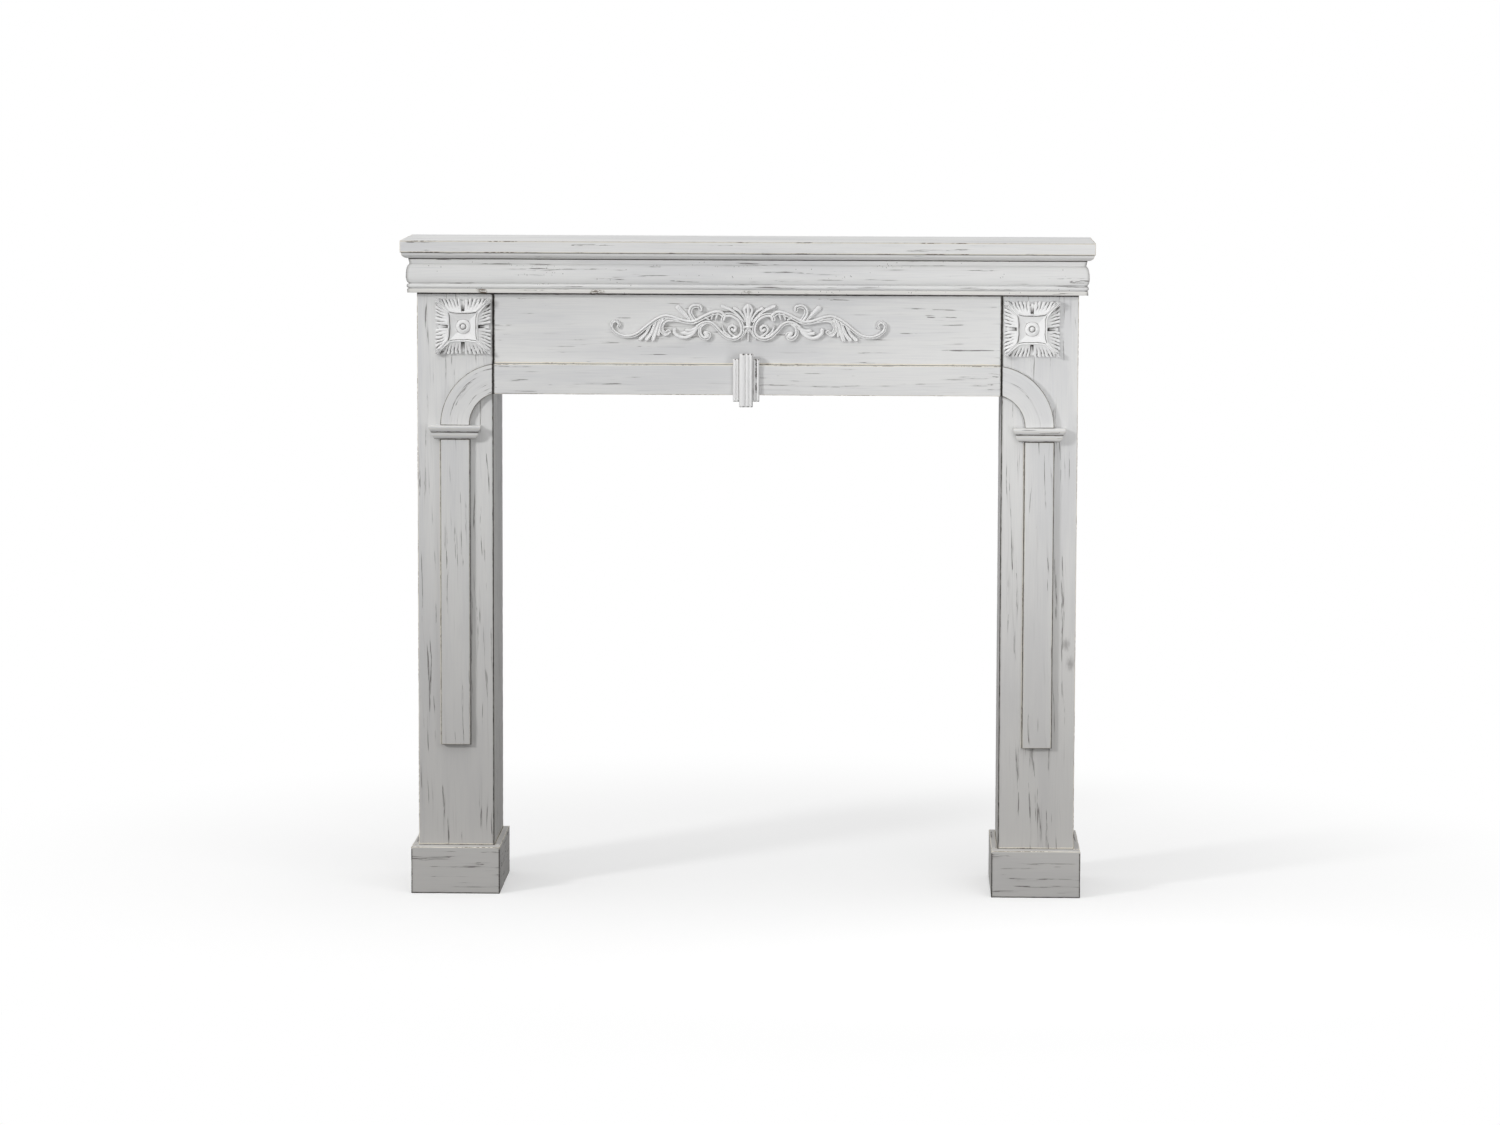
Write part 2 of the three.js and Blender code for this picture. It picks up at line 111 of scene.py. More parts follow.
class MouldingSettings(bpy.types.PropertyGroup):
    board: length("Board Thickness", "Thickness of the boards behind the cornice", 15.0)
    fillet_out: length("Fillet", "How far the foot fillet stands out from the legs", 15.0)
    fillet_height: length("Fillet Height", "Height of the foot fillet", 6.6)
    quirk_out: length("Groove", "How far the grooves between the members stand out", 12.2)
    quirk_height: length("Groove Height", "Height of a groove", 1.3)
    bead: length("Bead Radius", "Radius of the bead", 3.6)
    torus_out: length("Torus", "How far the torus swells past the grooves", 4.8)
    torus_below: length("Torus Below", "Height of the torus under its fullest line", 11.5)
    torus_above: length("Torus Above", "Height of the torus over its fullest line", 19.5)
    top_lower_out: length("Top Member Foot", "How far the top member's foot stands out", 11.2)
    top_upper_out: length("Top Member Head", "How far the top member's head stands out", 13.2)
    top_height: length("Top Member Height", "Height of the top member", 8.2)
    gap: length("Joint Gap", "Gap left at each mitre", 0.3)
    ease: length("Eased Edge", "Radius of the worn edges of the members", 0.7)
    step: length("Step", "Distance between the mesh lines along a moulding", 6.0)
    ovolo_height: length("Ovolo Height", "Height of the ovolo under the shelf's edge", 8.6)
    ovolo_quirk: length("Ovolo Step", "Step back from the shelf's edge to the ovolo", 2.0)
    ovolo_quirk_height: length("Ovolo Step Height", "Height of that step", 1.4)
    cap_lower_height: length("Cap Lower Tier", "Height of the lower tier of an impost cap", 11.3)
    cap_lower_out: length("Cap Lower Front", "How far the lower tier stands out in front", 17.0)
    cap_slant: length("Cap Slant", "How far the foot of a tier lies back", 4.5)


class KeystoneSettings(bpy.types.PropertyGroup):
    reed: length("Reed", "Width of a narrow reed", 5.4)
    wide_reed: length("Wide Reed", "Width of the widest reed", 10.2)
    wing_drop: length("Wing Drop", "How much shorter a wing is at each end", 9.0)
    wing_set_back: length("Wing Set-back", "How far a wing lies behind the middle", 7.0)
    depth: length("Reed Depth", "Depth of the hollow between two reeds", 3.4)


class RosetteSettings(bpy.types.PropertyGroup):
    cell: length("Grid", "Distance between the mesh lines", 0.46)
    flutes: IntProperty(name="Flutes", description="Flutes on half a side", default=7)


class ScrollSettings(bpy.types.PropertyGroup):
    cell: length("Grid", "Distance between the mesh lines", 0.56)
    base: length("Base", "Height of the upright sides of the carving", 1.6)
    shift: length("Shift", "How far the axis lies to the right of the middle", 1.8)


class StageSettings(bpy.types.PropertyGroup):
    camera_x: length("Camera X", "Camera place across", 231.96)
    camera_y: length("Camera Y", "Camera place in depth", -8668.11)
    camera_z: length("Camera Z", "Camera height", 1510.05)
    yaw: angle("Yaw", "Turn to the left", 0.026347)
    pitch: angle("Pitch", "Tilt down", 0.109335)
    roll: angle("Roll", "Roll of the camera", 0.003171)
    focal_pixels: FloatProperty(
        name="Focal Length", description="In pixels of a picture 1500 wide", default=5091.13
    )
    key_power: power("Key Light", "Power of the far left light", 135)
    left_power: power("Left Light", "Power of the near left light", 0.95)
    right_power: power("Right Light", "Power of the near right light", 4.4)
    sky: FloatProperty(name="Sky", description="Strength of the sky straight overhead", default=1.9)


# Number helpers

def smooth_step(low, high, value):
    t = np.clip((value - low) / (high - low), 0, 1)
    return t * t * (3 - 2 * t)


def soft_noise(points, cell, seed):
    """Smooth random values from 0 to 1 that change over the length of a cell."""
    table = np.random.default_rng(seed).random(4096)
    scaled = points / cell
    low = np.floor(scaled).astype(int)
    part = smooth_step(0, 1, scaled - low)
    total = np.zeros(len(points))
    for corner in np.ndindex(2, 2, 2):
        i = low + corner
        value = table[(i[:, 0] * 73 + i[:, 1] * 179 + i[:, 2] * 283) % 4096]
        total += value * np.prod(np.where(corner, part, 1 - part), axis=1)
    return total


def board_box(node):
    """The lowest and highest corner of a node."""
    low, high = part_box(node)
    return np.array(low), np.array(high)


def facing_out(points, quads):
    """The quads, turned round if the closed surface that they make faces inwards."""
    a, b, c, d = (points[quads[:, i]] for i in range(4))
    volume = np.einsum("ij,ij->", a, np.cross(b, c)) + np.einsum("ij,ij->", a, np.cross(c, d))
    return quads if volume > 0 else quads[:, ::-1]


# Mesh helpers

def grain_space(points, axis, seed):
    """Coordinates whose first number runs along the grain, moved so that no two boards match."""
    order = [axis] + [a for a in range(3) if a != axis]
    return points[:, order] + np.random.default_rng(seed).random(3) * 7


def make_piece(name, node, slot, points, faces, fields, sharp=50):
    """A named mesh that stands for a CAD node. fields holds its arris, hollow and grain values."""
    mesh = bpy.data.meshes.new(name)
    mesh.from_pydata(points.tolist(), [], [list(map(int, f)) for f in faces])
    for field, values in fields.items():
        kind, key = ("FLOAT_VECTOR", "vector") if np.ndim(values) == 2 else ("FLOAT", "value")
        mesh.attributes.new(field, kind, "POINT").data.foreach_set(key, np.ravel(values).astype(np.float32))
    finish_mesh(mesh, sharp)
    obj = bpy.data.objects.new(name, mesh)
    bpy.context.scene.collection.objects.link(obj)
    dress(obj, node, slot)
    return obj


def finish_mesh(mesh, sharp):
    mesh.update()
    mesh.polygons.foreach_set("use_smooth", np.ones(len(mesh.polygons), bool))
    mesh.set_sharp_from_angle(angle=math.radians(sharp))


def dress(obj, node, slot):
    """Gives a piece its streak cover, its paint and its body, and hides the CAD node it stands for."""
    cover = np.full(len(obj.data.vertices), COVER[node.split("_")[0]], np.float32)
    obj.data.attributes.new("cover", "FLOAT", "POINT").data.foreach_set("value", cover)
    obj.data.materials.clear()
    obj.data.materials.append(paint_material(slot))
    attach(obj, "root")
    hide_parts(node)


def grid_lines(span, radius, step):
    """Places along an edge: close together beside both arrises and a step apart between them."""
    near = [p * radius for p in (0, 0.3, 0.65, 1, 2.2, 4.5) if p * radius < 0.45 * span]
    count = max(1, round((span - 2 * near[-1]) / step))
    middle = np.linspace(near[-1], span - near[-1], count + 1)[1:-1]
    return np.array(near + list(middle) + [span - p for p in reversed(near)])


def grid_quads(index):
    """The quads between neighbouring points of a grid of point numbers."""
    return np.stack([index[:-1, :-1], index[1:, :-1], index[1:, 1:], index[:-1, 1:]], -1)


def worn_box(low, high, settings, seed, joints=()):
    """Points, quads and arris distances of a board with unevenly worn arrises and small chips.
    It has close mesh lines at each joint, which names an axis and a place."""
    lines = [low[a] + grid_lines(high[a] - low[a], settings.arris, settings.step) for a in range(3)]
    for axis, place, *_ in joints:
        clear = lines[axis][np.abs(lines[axis] - place) > 3.5 * MM]
        close = place + np.array([-3, -1.6, -0.7, 0, 0.7, 1.6, 3]) * MM
        lines[axis] = np.sort(np.concatenate([clear, close]))
    count = [len(line) for line in lines]
    quads = []
    for axis in range(3):
        u, v = (axis + 1) % 3, (axis + 2) % 3
        iu, iv = np.meshgrid(np.arange(count[u]), np.arange(count[v]), indexing="ij")
        for end in (0, count[axis] - 1):
            place = [None, None, None]
            place[axis], place[u], place[v] = np.full_like(iu, end), iu, iv
            key = (place[0] * count[1] + place[1]) * count[2] + place[2]
            quad = grid_quads(key).reshape(-1, 4)
            quads.append(quad if end else quad[:, ::-1])
    keys, quads = np.unique(np.concatenate(quads), return_inverse=True)
    index = np.stack([keys // (count[1] * count[2]), keys // count[2] % count[1], keys % count[2]], 1)
    points = np.stack([lines[a][index[:, a]] for a in range(3)], 1)
    arris = np.sort(np.minimum(points - low, high - points), axis=1)[:, 1]
    radius = settings.arris * (0.5 + 1.2 * soft_noise(points, 26 * MM, seed))[:, None]
    core = np.clip(points, low + radius, high - radius)
    away = points - core
    away /= np.linalg.norm(away, axis=1, keepdims=True)
    chips = smooth_step(0.62, 0.85, soft_noise(points, 8 * MM, seed + 1)) * np.exp(-arris / (1.3 * MM))
    points = core + away * (radius - settings.chip * chips[:, None])
    return points, quads.reshape(-1, 4), arris


def eased_profile(corners, closed=False, facets=3):
    """Rows of out, up, arris and hollow through corners of out, up, ease radius and hollow.
    A corner with an ease radius is an arris and is rounded over."""
    rows = []
    count = len(corners)
    for i, (out, up, ease, hollow) in enumerate(corners):
        here = np.array([out, up])
        if not ease:
            rows.append([*here, 0, hollow])
            continue
        before = np.array(corners[i - 1][:2]) - here
        after = np.array(corners[(i + 1) % count][:2]) - here
        start = here + before / np.linalg.norm(before) * ease
        end = here + after / np.linalg.norm(after) * ease
        for f in range(facets + 1):
            t = f / facets
            point = (1 - t) ** 2 * start + 2 * t * (1 - t) * here + t * t * end
            rows.append([*point, 1, hollow])
    rows = np.array(rows)
    full = []
    for i, row in enumerate(rows):
        full.append(row)
        ahead = rows[(i + 1) % len(rows)]
        span = np.linalg.norm(ahead[:2] - row[:2])
        if span > 6 * MM and (closed or i + 1 < len(rows)):
            for d in (1.2 * MM, 3 * MM, span - 3 * MM, span - 1.2 * MM):
                middle = row + (ahead - row) * d / span
                full.append([middle[0], middle[1], 0, 0])
    full = np.array(full)
    marks = full[full[:, 2] == 1, :2]
    full[:, 2] = np.linalg.norm(full[:, None, :2] - marks[None], axis=2).min(1)
    return full


def moulded_slab(centre_x, half_width, face_y, back_y, profile, settings, seed):
    """A slab whose profile runs round its front and both ends. Its rows go from the underside,
    round the edge, to the top; its half width and depth grow by each row's out."""
    out, up, arris, hollow = profile.T
    reach = out.max()
    end_lines = grid_lines(back_y - face_y + reach, settings.ease, settings.step)
    front_lines = grid_lines(2 * (half_width + reach), settings.ease, settings.step)
    columns = [("end", -1, d) for d in end_lines[:0:-1]]
    columns += [("front", 1, d) for d in front_lines[:-1]]
    columns += [("end", 1, d) for d in end_lines]
    grid = []
    for kind, sign, d in columns:
        width = half_width + out
        if kind == "end":
            depth = back_y - face_y + out
            x, y = sign * width, back_y - depth + d * depth / end_lines[-1]
            corner = np.full(len(out), d)
        else:
            x = (2 * d / front_lines[-1] - 1) * width
            y = face_y - out
            corner = np.full(len(out), min(d, front_lines[-1] - d))
        grid.append(np.stack([x + 0 * out, y + 0 * out, up, np.minimum(arris, corner)], 1))
    grid = np.array(grid)
    points, edge = grid[..., :3].reshape(-1, 3), grid[..., 3].ravel()
    # the upright corners are rounded in plan
    rows, count = len(out), len(columns)
    width = half_width + np.tile(out, count)
    front = face_y - np.tile(out, count)
    ease = settings.ease
    plan = points[:, :2]
    core_x = np.clip(plan[:, 0], -width + ease, width - ease)
    core = np.stack([core_x, np.maximum(plan[:, 1], front + ease)], 1)
    away = plan - core
    size = np.linalg.norm(away, axis=1, keepdims=True)
    points[:, :2] = core + away * np.where(size > 0, ease / np.maximum(size, 1e-9), 0)
    points[:, 0] += centre_x
    dent = smooth_step(0.6, 0.85, soft_noise(points, 9 * MM, seed)) * np.exp(-edge / (1.2 * MM)) * 0.5 * MM
    points[:, 1] += np.where(points[:, 1] < back_y - 1 * MM, dent, 0)
    index = np.arange(count * rows).reshape(count, rows)
    faces = list(grid_quads(index).reshape(-1, 4))
    faces.append(index[:, -1])
    faces.append(index[::-1, 0])
    faces.append(np.concatenate([index[0, ::-1], index[-1, :]])[::-1])
    # the flat back shares the points of the first and last columns, so no dirt lies on them
    dirt = np.tile(hollow, (count, 1))
    dirt[[0, -1]] = 0
    fields = {"arris": edge, "hollow": dirt.ravel(), "grain": grain_space(points, 0, seed)}
    return points, faces, fields


def relief_solid(field_x, field_z, inside, height, base_y):
    """Closes a carved surface into a solid. inside is positive on the carving and falls through
    nought at its outline, in metres; height is how proud each grid point stands of base_y."""
    cell = field_x[1, 0] - field_x[0, 0]
    keep = inside > 0
    quad_keep = keep[:-1, :-1] | keep[1:, :-1] | keep[:-1, 1:] | keep[1:, 1:]
    index = np.arange(inside.size).reshape(inside.shape)
    quads = grid_quads(index)[quad_keep]
    slope_x, slope_z = np.gradient(inside, cell)
    steep = np.maximum(slope_x**2 + slope_z**2, 0.25)
    move = np.where(keep, 0, np.clip(-inside, 0, 1.3 * cell))
    x = (field_x + move * slope_x / steep).ravel()
    z = (field_z + move * slope_z / steep).ravel()
    used, flat = np.unique(quads, return_inverse=True)
    quads = flat.reshape(quads.shape)
    front = np.stack([x[used], base_y - height.ravel()[used], z[used]], 1)
    back = np.stack([x[used], np.full(len(used), base_y), z[used]], 1)
    count = len(used)
    edges = np.concatenate([quads[:, [i, (i + 1) % 4]] for i in range(4)])
    forward = edges[:, 0] * count + edges[:, 1]
    backward = edges[:, 1] * count + edges[:, 0]
    rim = edges[~np.isin(forward, backward)]
    walls = np.stack([rim[:, 1], rim[:, 0], rim[:, 0] + count, rim[:, 1] + count], 1)
    points = np.concatenate([front, back])
    faces = np.concatenate([quads, quads[:, ::-1] + count, walls])
    return points, facing_out(points, faces), used


def blurred(field, reach):
    """The field averaged over a square of reach cells each way, twice."""
    for _ in range(2):
        for axis in (0, 1):
            total = np.zeros_like(field)
            for k in range(-reach, reach + 1):
                total += np.roll(field, k, axis)
            field = total / (2 * reach + 1)
    return field


def relief_shade(height, cell):
    """Share of painted shade on a carving whose heights are in millimetres: it is darker in the
    hollows and on the sides that turn down and to the right, away from the light."""
    near, lee = round(1.6 / cell), max(1, round(0.9 / cell))
    cavity = (blurred(height, near) - height) / 1.2
    turned = (np.roll(height, (lee, -lee), (0, 1)) - height) / 3.0
    return np.clip(np.maximum(cavity, turned), 0, 1)


# Node helpers

class Nodes:
    """Adds nodes to a tree, with each input set or joined by its name or number."""

    def __init__(self, tree):
        self.tree = tree

    def add(self, kind, inputs=None, **settings):
        node = self.tree.nodes.new(kind)
        for key, value in settings.items():
            setattr(node, key, value)
        for key, value in (inputs or {}).items():
            if isinstance(value, bpy.types.NodeSocket):
                self.tree.links.new(value, node.inputs[key])
            else:
                node.inputs[key].default_value = value
        return node

    def math(self, operation, a, b=0.0, c=0.0):
        return self.add("ShaderNodeMath", {0: a, 1: b, 2: c}, operation=operation).outputs[0]

    def scaled(self, vector, scale):
        return self.add("ShaderNodeVectorMath", {0: vector, 1: scale}, operation="MULTIPLY").outputs[0]

    def noise(self, vector, detail=2.0, roughness=0.5):
        inputs = {"Vector": vector, "Scale": 1.0, "Detail": detail, "Roughness": roughness}
        return self.add("ShaderNodeTexNoise", inputs).outputs[0]

    def ramp(self, value, low, high, to_low=0.0, to_high=1.0):
        inputs = {"Value": value, "From Min": low, "From Max": high, "To Min": to_low, "To Max": to_high}
        return self.add("ShaderNodeMapRange", inputs, interpolation_type="SMOOTHSTEP").outputs[0]

    def mixed(self, share_socket, a, b):
        node = self.add("ShaderNodeMix", data_type="RGBA")
        for socket, value in ((node.inputs[0], share_socket), (node.inputs[6], a), (node.inputs[7], b)):
            if isinstance(value, bpy.types.NodeSocket):
                self.tree.links.new(value, socket)
            else:
                socket.default_value = value
        return node.outputs[2]


def node_group(name, kind, inputs, outputs):
    """A node group with named sockets: the Nodes helper, its input node and its output node."""
    tree = bpy.data.node_groups.new(name, kind)
    for title, socket_type, default in inputs:
        socket = tree.interface.new_socket(title, in_out="INPUT", socket_type=socket_type)
        if default is not None:
            socket.default_value = default
    for title, socket_type in outputs:
        tree.interface.new_socket(title, in_out="OUTPUT", socket_type=socket_type)
    nodes = Nodes(tree)
    return nodes, nodes.add("NodeGroupInput").outputs, nodes.add("NodeGroupOutput").inputs


def shader_group(name, inputs, outputs, build):
    """The shader group of that name, built once."""
    if name not in bpy.data.node_groups:
        nodes, given, result = node_group(name, "ShaderNodeTree", inputs, outputs)
        for title, socket in build(nodes, given).items():
            nodes.tree.links.new(socket, result[title])
    return bpy.data.node_groups[name]


# Paint

FLOAT, VECTOR, COLOUR = "NodeSocketFloat", "NodeSocketVector", "NodeSocketColor"


def brushed_tone():
    """White paint that changes slowly between whole and thin."""
    inputs = [("Grain", VECTOR, None), ("Light", COLOUR, None), ("Shade", COLOUR, None)]

    def build(nodes, given):
        clouds = nodes.noise(nodes.scaled(given["Grain"], (3.0, 22.0, 22.0)), 3.0)
        brush = nodes.noise(nodes.scaled(given["Grain"], (14.0, 420.0, 420.0)), 2.0)
        amount = nodes.math("ADD", nodes.ramp(clouds, 0.42, 0.72), nodes.ramp(brush, 0.4, 0.75, 0.0, 0.45))
        return {"Color": nodes.mixed(amount, given["Light"], given["Shade"])}

    return shader_group("Brushed Tone", inputs, [("Color", COLOUR)], build)


def dry_streaks():
    """Broken dry-brush marks along the grain: thin dark fragments and the soft smear round them."""
    inputs = [("Grain", VECTOR, None), ("Cover", FLOAT, 0.5), ("Slant", FLOAT, 0.02)]

    def build(nodes, given):
        parts = nodes.add("ShaderNodeSeparateXYZ", {0: given["Grain"]}).outputs
        wander = nodes.noise(nodes.scaled(given["Grain"], (9.0, 30.0, 30.0)), 1.0)
        drift = nodes.math("MULTIPLY_ADD", wander, 0.010, nodes.math("MULTIPLY", parts[0], given["Slant"]))
        across = nodes.math("ADD", parts[1], drift)
        bent = nodes.add("ShaderNodeCombineXYZ", {0: parts[0], 1: across, 2: parts[2]}).outputs[0]
        patches = nodes.noise(nodes.scaled(bent, (8.0, 230.0, 230.0)), 1.0)
        threshold = nodes.math("SUBTRACT", 0.74, nodes.math("MULTIPLY", given["Cover"], 0.2))
        patch = nodes.ramp(nodes.math("SUBTRACT", patches, threshold), 0.0, 0.04)
        lines = nodes.noise(nodes.scaled(bent, (26.0, 640.0, 640.0)), 2.0, 0.6)
        fragments = nodes.ramp(lines, 0.50, 0.56)
        smear_lines = nodes.noise(nodes.scaled(bent, (12.0, 260.0, 260.0)), 1.0)
        smear = nodes.ramp(nodes.math("SUBTRACT", patches, threshold), -0.09, 0.04)
        smear = nodes.math("MULTIPLY", smear, nodes.ramp(smear_lines, 0.42, 0.62))
        return {"Dark": nodes.math("MULTIPLY", patch, fragments), "Smear": smear}

    return shader_group("Dry Streaks", inputs, [("Dark", FLOAT), ("Smear", FLOAT)], build)


def worn_arris():
    """Undercoat and bare wood along an arris, from the distance to it."""
    inputs = [
        ("Arris", FLOAT, 0.02),
        ("Grain", VECTOR, None),
        ("Width", FLOAT, 0.0016),
        ("Cover", FLOAT, 0.5),
        ("Whole", FLOAT, 0.6),
    ]

    def build(nodes, given):
        broad = nodes.noise(nodes.scaled(given["Grain"], (16.0, 16.0, 16.0)), 2.0)
        fine = nodes.noise(nodes.scaled(given["Grain"], (160.0, 400.0, 400.0)), 2.0, 0.6)
        ragged = nodes.math("MULTIPLY_ADD", fine, 0.9, nodes.math("MULTIPLY", broad, 1.1))
        reach = nodes.math("MULTIPLY", ragged, given["Width"])
        ratio = nodes.math("DIVIDE", given["Arris"], reach)
        cream = nodes.ramp(ratio, 0.75, 1.15, 1.0, 0.0)
        rubbed_from = nodes.math("MULTIPLY_ADD", given["Cover"], -0.28, given["Whole"])
        patches = nodes.ramp(nodes.math("SUBTRACT", broad, rubbed_from), 0.0, 0.08)
        rubbed = nodes.math("MULTIPLY", nodes.ramp(ratio, 0.30, 0.60, 1.0, 0.0), patches)
        return {"Cream": cream, "Bare": nodes.math("MULTIPLY", rubbed, nodes.ramp(fine, 0.40, 0.52))}

    return shader_group("Worn Arris", inputs, [("Cream", FLOAT), ("Bare", FLOAT)], build)


# place across, height and size of each knot, in metres
KNOTS = ((0.5425, 0.431, 0.008), (0.550, 0.398, 0.009))


def knots():
    """Two knots that grin through the paint on the right leg."""

    def build(nodes, given):
        total = 0.0
        for x, z, size in KNOTS:
            from_knot = {0: given["Place"], 1: (x, 0, z)}
            offset = nodes.add("ShaderNodeVectorMath", from_knot, operation="SUBTRACT").outputs[0]
            flat = nodes.scaled(offset, (1 / size, 0, 0.6 / size))
            away = nodes.add("ShaderNodeVectorMath", {0: flat}, operation="LENGTH").outputs["Value"]
            away = nodes.math("ADD", away, nodes.noise(nodes.scaled(given["Place"], (300.0, 1.0, 130.0))))
            total = nodes.math("ADD", nodes.ramp(away, 0.5, 1.6, 0.5, 0.0), total)
        return {"Shade": total}

    return shader_group("Knots", [("Place", VECTOR, None)], [("Shade", FLOAT)], build)


def pinholes():
    """Clusters of small round holes."""

    def build(nodes, given):
        cells = nodes.scaled(given["Grain"], (230.0, 190.0, 190.0))
        inputs = {"Vector": cells, "Scale": 1.0, "Randomness": 0.8}
        distance = nodes.add("ShaderNodeTexVoronoi", inputs).outputs["Distance"]
        cluster = nodes.noise(nodes.scaled(given["Grain"], (16.0, 110.0, 110.0)), 1.0)
        dot = nodes.ramp(distance, 0.12, 0.2, 1.0, 0.0)
        return {"Dots": nodes.math("MULTIPLY", dot, nodes.ramp(cluster, 0.60, 0.64, 0.0, 0.8))}

    return shader_group("Pinholes", [("Grain", VECTOR, None)], [("Dots", FLOAT)], build)


# For each slot: slant of the streaks, width of the worn arris, shares of cream and of the
# streaks' colour, extra white (painted light that makes the carvings, and a little the mouldings,
# read brighter than the boards), and how rarely an arris is bare
PAINTS = {
    "painted_boards": dict(slant=0.02, width=1.3 * MM, cream=0.9, streak=0.85, white=0.0, whole=0.60),
    "painted_mouldings": dict(slant=0.0, width=0.55 * MM, cream=0.3, streak=0.85, white=0.1, whole=0.74),
    "painted_carvings": dict(slant=0.0, width=0.9 * MM, cream=0.2, streak=0.4, white=0.8, whole=0.55),
}
# how thickly the streaks lie, by the first part of a piece's name
COVER = {
    "frieze": 0.28, "lower": 0.50, "shelf": 0.28, "leg": 0.52, "plinth": 0.60, "arch": 0.55,
    "pilaster": 0.46, "cornice": 0.46, "impost": 0.35, "keystone": 0.10, "rosette": 0.0, "scroll": 0.0,
}


def paint_material(slot):
    """Distressed matt white paint over wood, built once for each slot, with painted shade towards
    the floor and in the carvings' hollows, and painted light that whitens the carvings.
    """
    name = "distressed_" + slot
    if name in bpy.data.materials:
        return bpy.data.materials[name]
    paint = bpy.context.scene.mantel_paint
    look = PAINTS[slot]
    material = bpy.data.materials.new(name)
    material.use_nodes = True
    nodes = Nodes(material.node_tree)
    shader = material.node_tree.nodes["Principled BSDF"]
    grain = nodes.add("ShaderNodeAttribute", attribute_name="grain").outputs["Vector"]
    arris = nodes.add("ShaderNodeAttribute", attribute_name="arris").outputs["Fac"]
    hollow = nodes.add("ShaderNodeAttribute", attribute_name="hollow").outputs["Fac"]
    cover = nodes.add("ShaderNodeAttribute", attribute_name="cover").outputs["Fac"]
    place = nodes.add("ShaderNodeTexCoord").outputs["Object"]
    height = nodes.add("ShaderNodeSeparateXYZ", {0: place}).outputs[2]

    def group(tree, **inputs):
        node = nodes.add("ShaderNodeGroup", node_tree=tree)
        for title, value in inputs.items():
            if isinstance(value, bpy.types.NodeSocket):
                nodes.tree.links.new(value, node.inputs[title])
            else:
                node.inputs[title].default_value = value
        return node.outputs

    tone = group(brushed_tone(), Grain=grain, Light=paint.light, Shade=paint.shade)["Color"]
    streaks = group(dry_streaks(), Grain=grain, Cover=cover, Slant=look["slant"])
    worn = group(
        worn_arris(), Arris=arris, Grain=grain, Width=look["width"], Cover=cover, Whole=look["whole"]
    )
    # painted shade: up to 58 % of that grey at the floor, fading out 1.05 m up
    floor_shade_share = nodes.ramp(height, 0.0, 1.05, 0.58, 0.0)
    # painted light: the carvings, and a little the mouldings, are mixed towards pure white
    colour_now = nodes.mixed(floor_shade_share, nodes.mixed(look["white"], tone, (1, 1, 1, 1)), paint.floor_shade)
    if slot == "painted_boards":
        colour_now = nodes.mixed(group(knots(), Place=place)["Shade"], colour_now, paint.streak)
    colour_now = nodes.mixed(nodes.math("MULTIPLY", streaks["Smear"], 0.14), colour_now, paint.streak)
    colour_now = nodes.mixed(nodes.math("MULTIPLY", worn["Cream"], look["cream"]), colour_now, paint.cream)
    dark = nodes.math("MULTIPLY", streaks["Dark"], look["streak"])
    colour_now = nodes.mixed(dark, colour_now, paint.streak)
    colour_now = nodes.mixed(worn["Bare"], colour_now, paint.bare)
    # grey glaze in the joints and quirks; on the carvings the hollow values are painted shade
    colour_now = nodes.mixed(nodes.ramp(hollow, 0.04, 0.8, 0.0, 0.85), colour_now, paint.glaze_and_shade)
    if slot == "painted_mouldings":
        colour_now = nodes.mixed(group(pinholes(), Grain=grain)["Dots"], colour_now, paint.streak)
    ragged = nodes.noise(nodes.scaled(grain, (90.0, 260.0, 260.0)), 2.0, 0.6)
    # near-black where the hollow value is high: dirt in the joints, painted shade in the carvings' deepest
    # hollows
    dirt = nodes.math("ADD", hollow, nodes.math("MULTIPLY_ADD", ragged, 0.7, -0.35))
    dirt = nodes.math("MULTIPLY", nodes.ramp(dirt, 0.40, 0.75), nodes.ramp(hollow, 0.02, 0.2))
    colour_now = nodes.mixed(nodes.math("MULTIPLY", dirt, 0.96), colour_now, paint.seam)
    nodes.tree.links.new(colour_now, shader.inputs["Base Color"])
    bare = nodes.math("MAXIMUM", worn["Bare"], streaks["Dark"])
    nodes.tree.links.new(nodes.math("MULTIPLY_ADD", bare, 0.2, paint.roughness), shader.inputs["Roughness"])
    brush = nodes.noise(nodes.scaled(grain, (30.0, 900.0, 900.0)), 3.0, 0.55)
    relief = nodes.math("SUBTRACT", nodes.math("MULTIPLY", brush, 0.25), nodes.math("MULTIPLY", bare, 0.8))
    bump = nodes.add("ShaderNodeBump", {"Strength": 0.35, "Distance": 0.0006, "Height": relief})
    nodes.tree.links.new(bump.outputs[0], shader.inputs["Normal"])
    shader.inputs["Specular IOR Level"].default_value = 0.35
    return material


# Boards

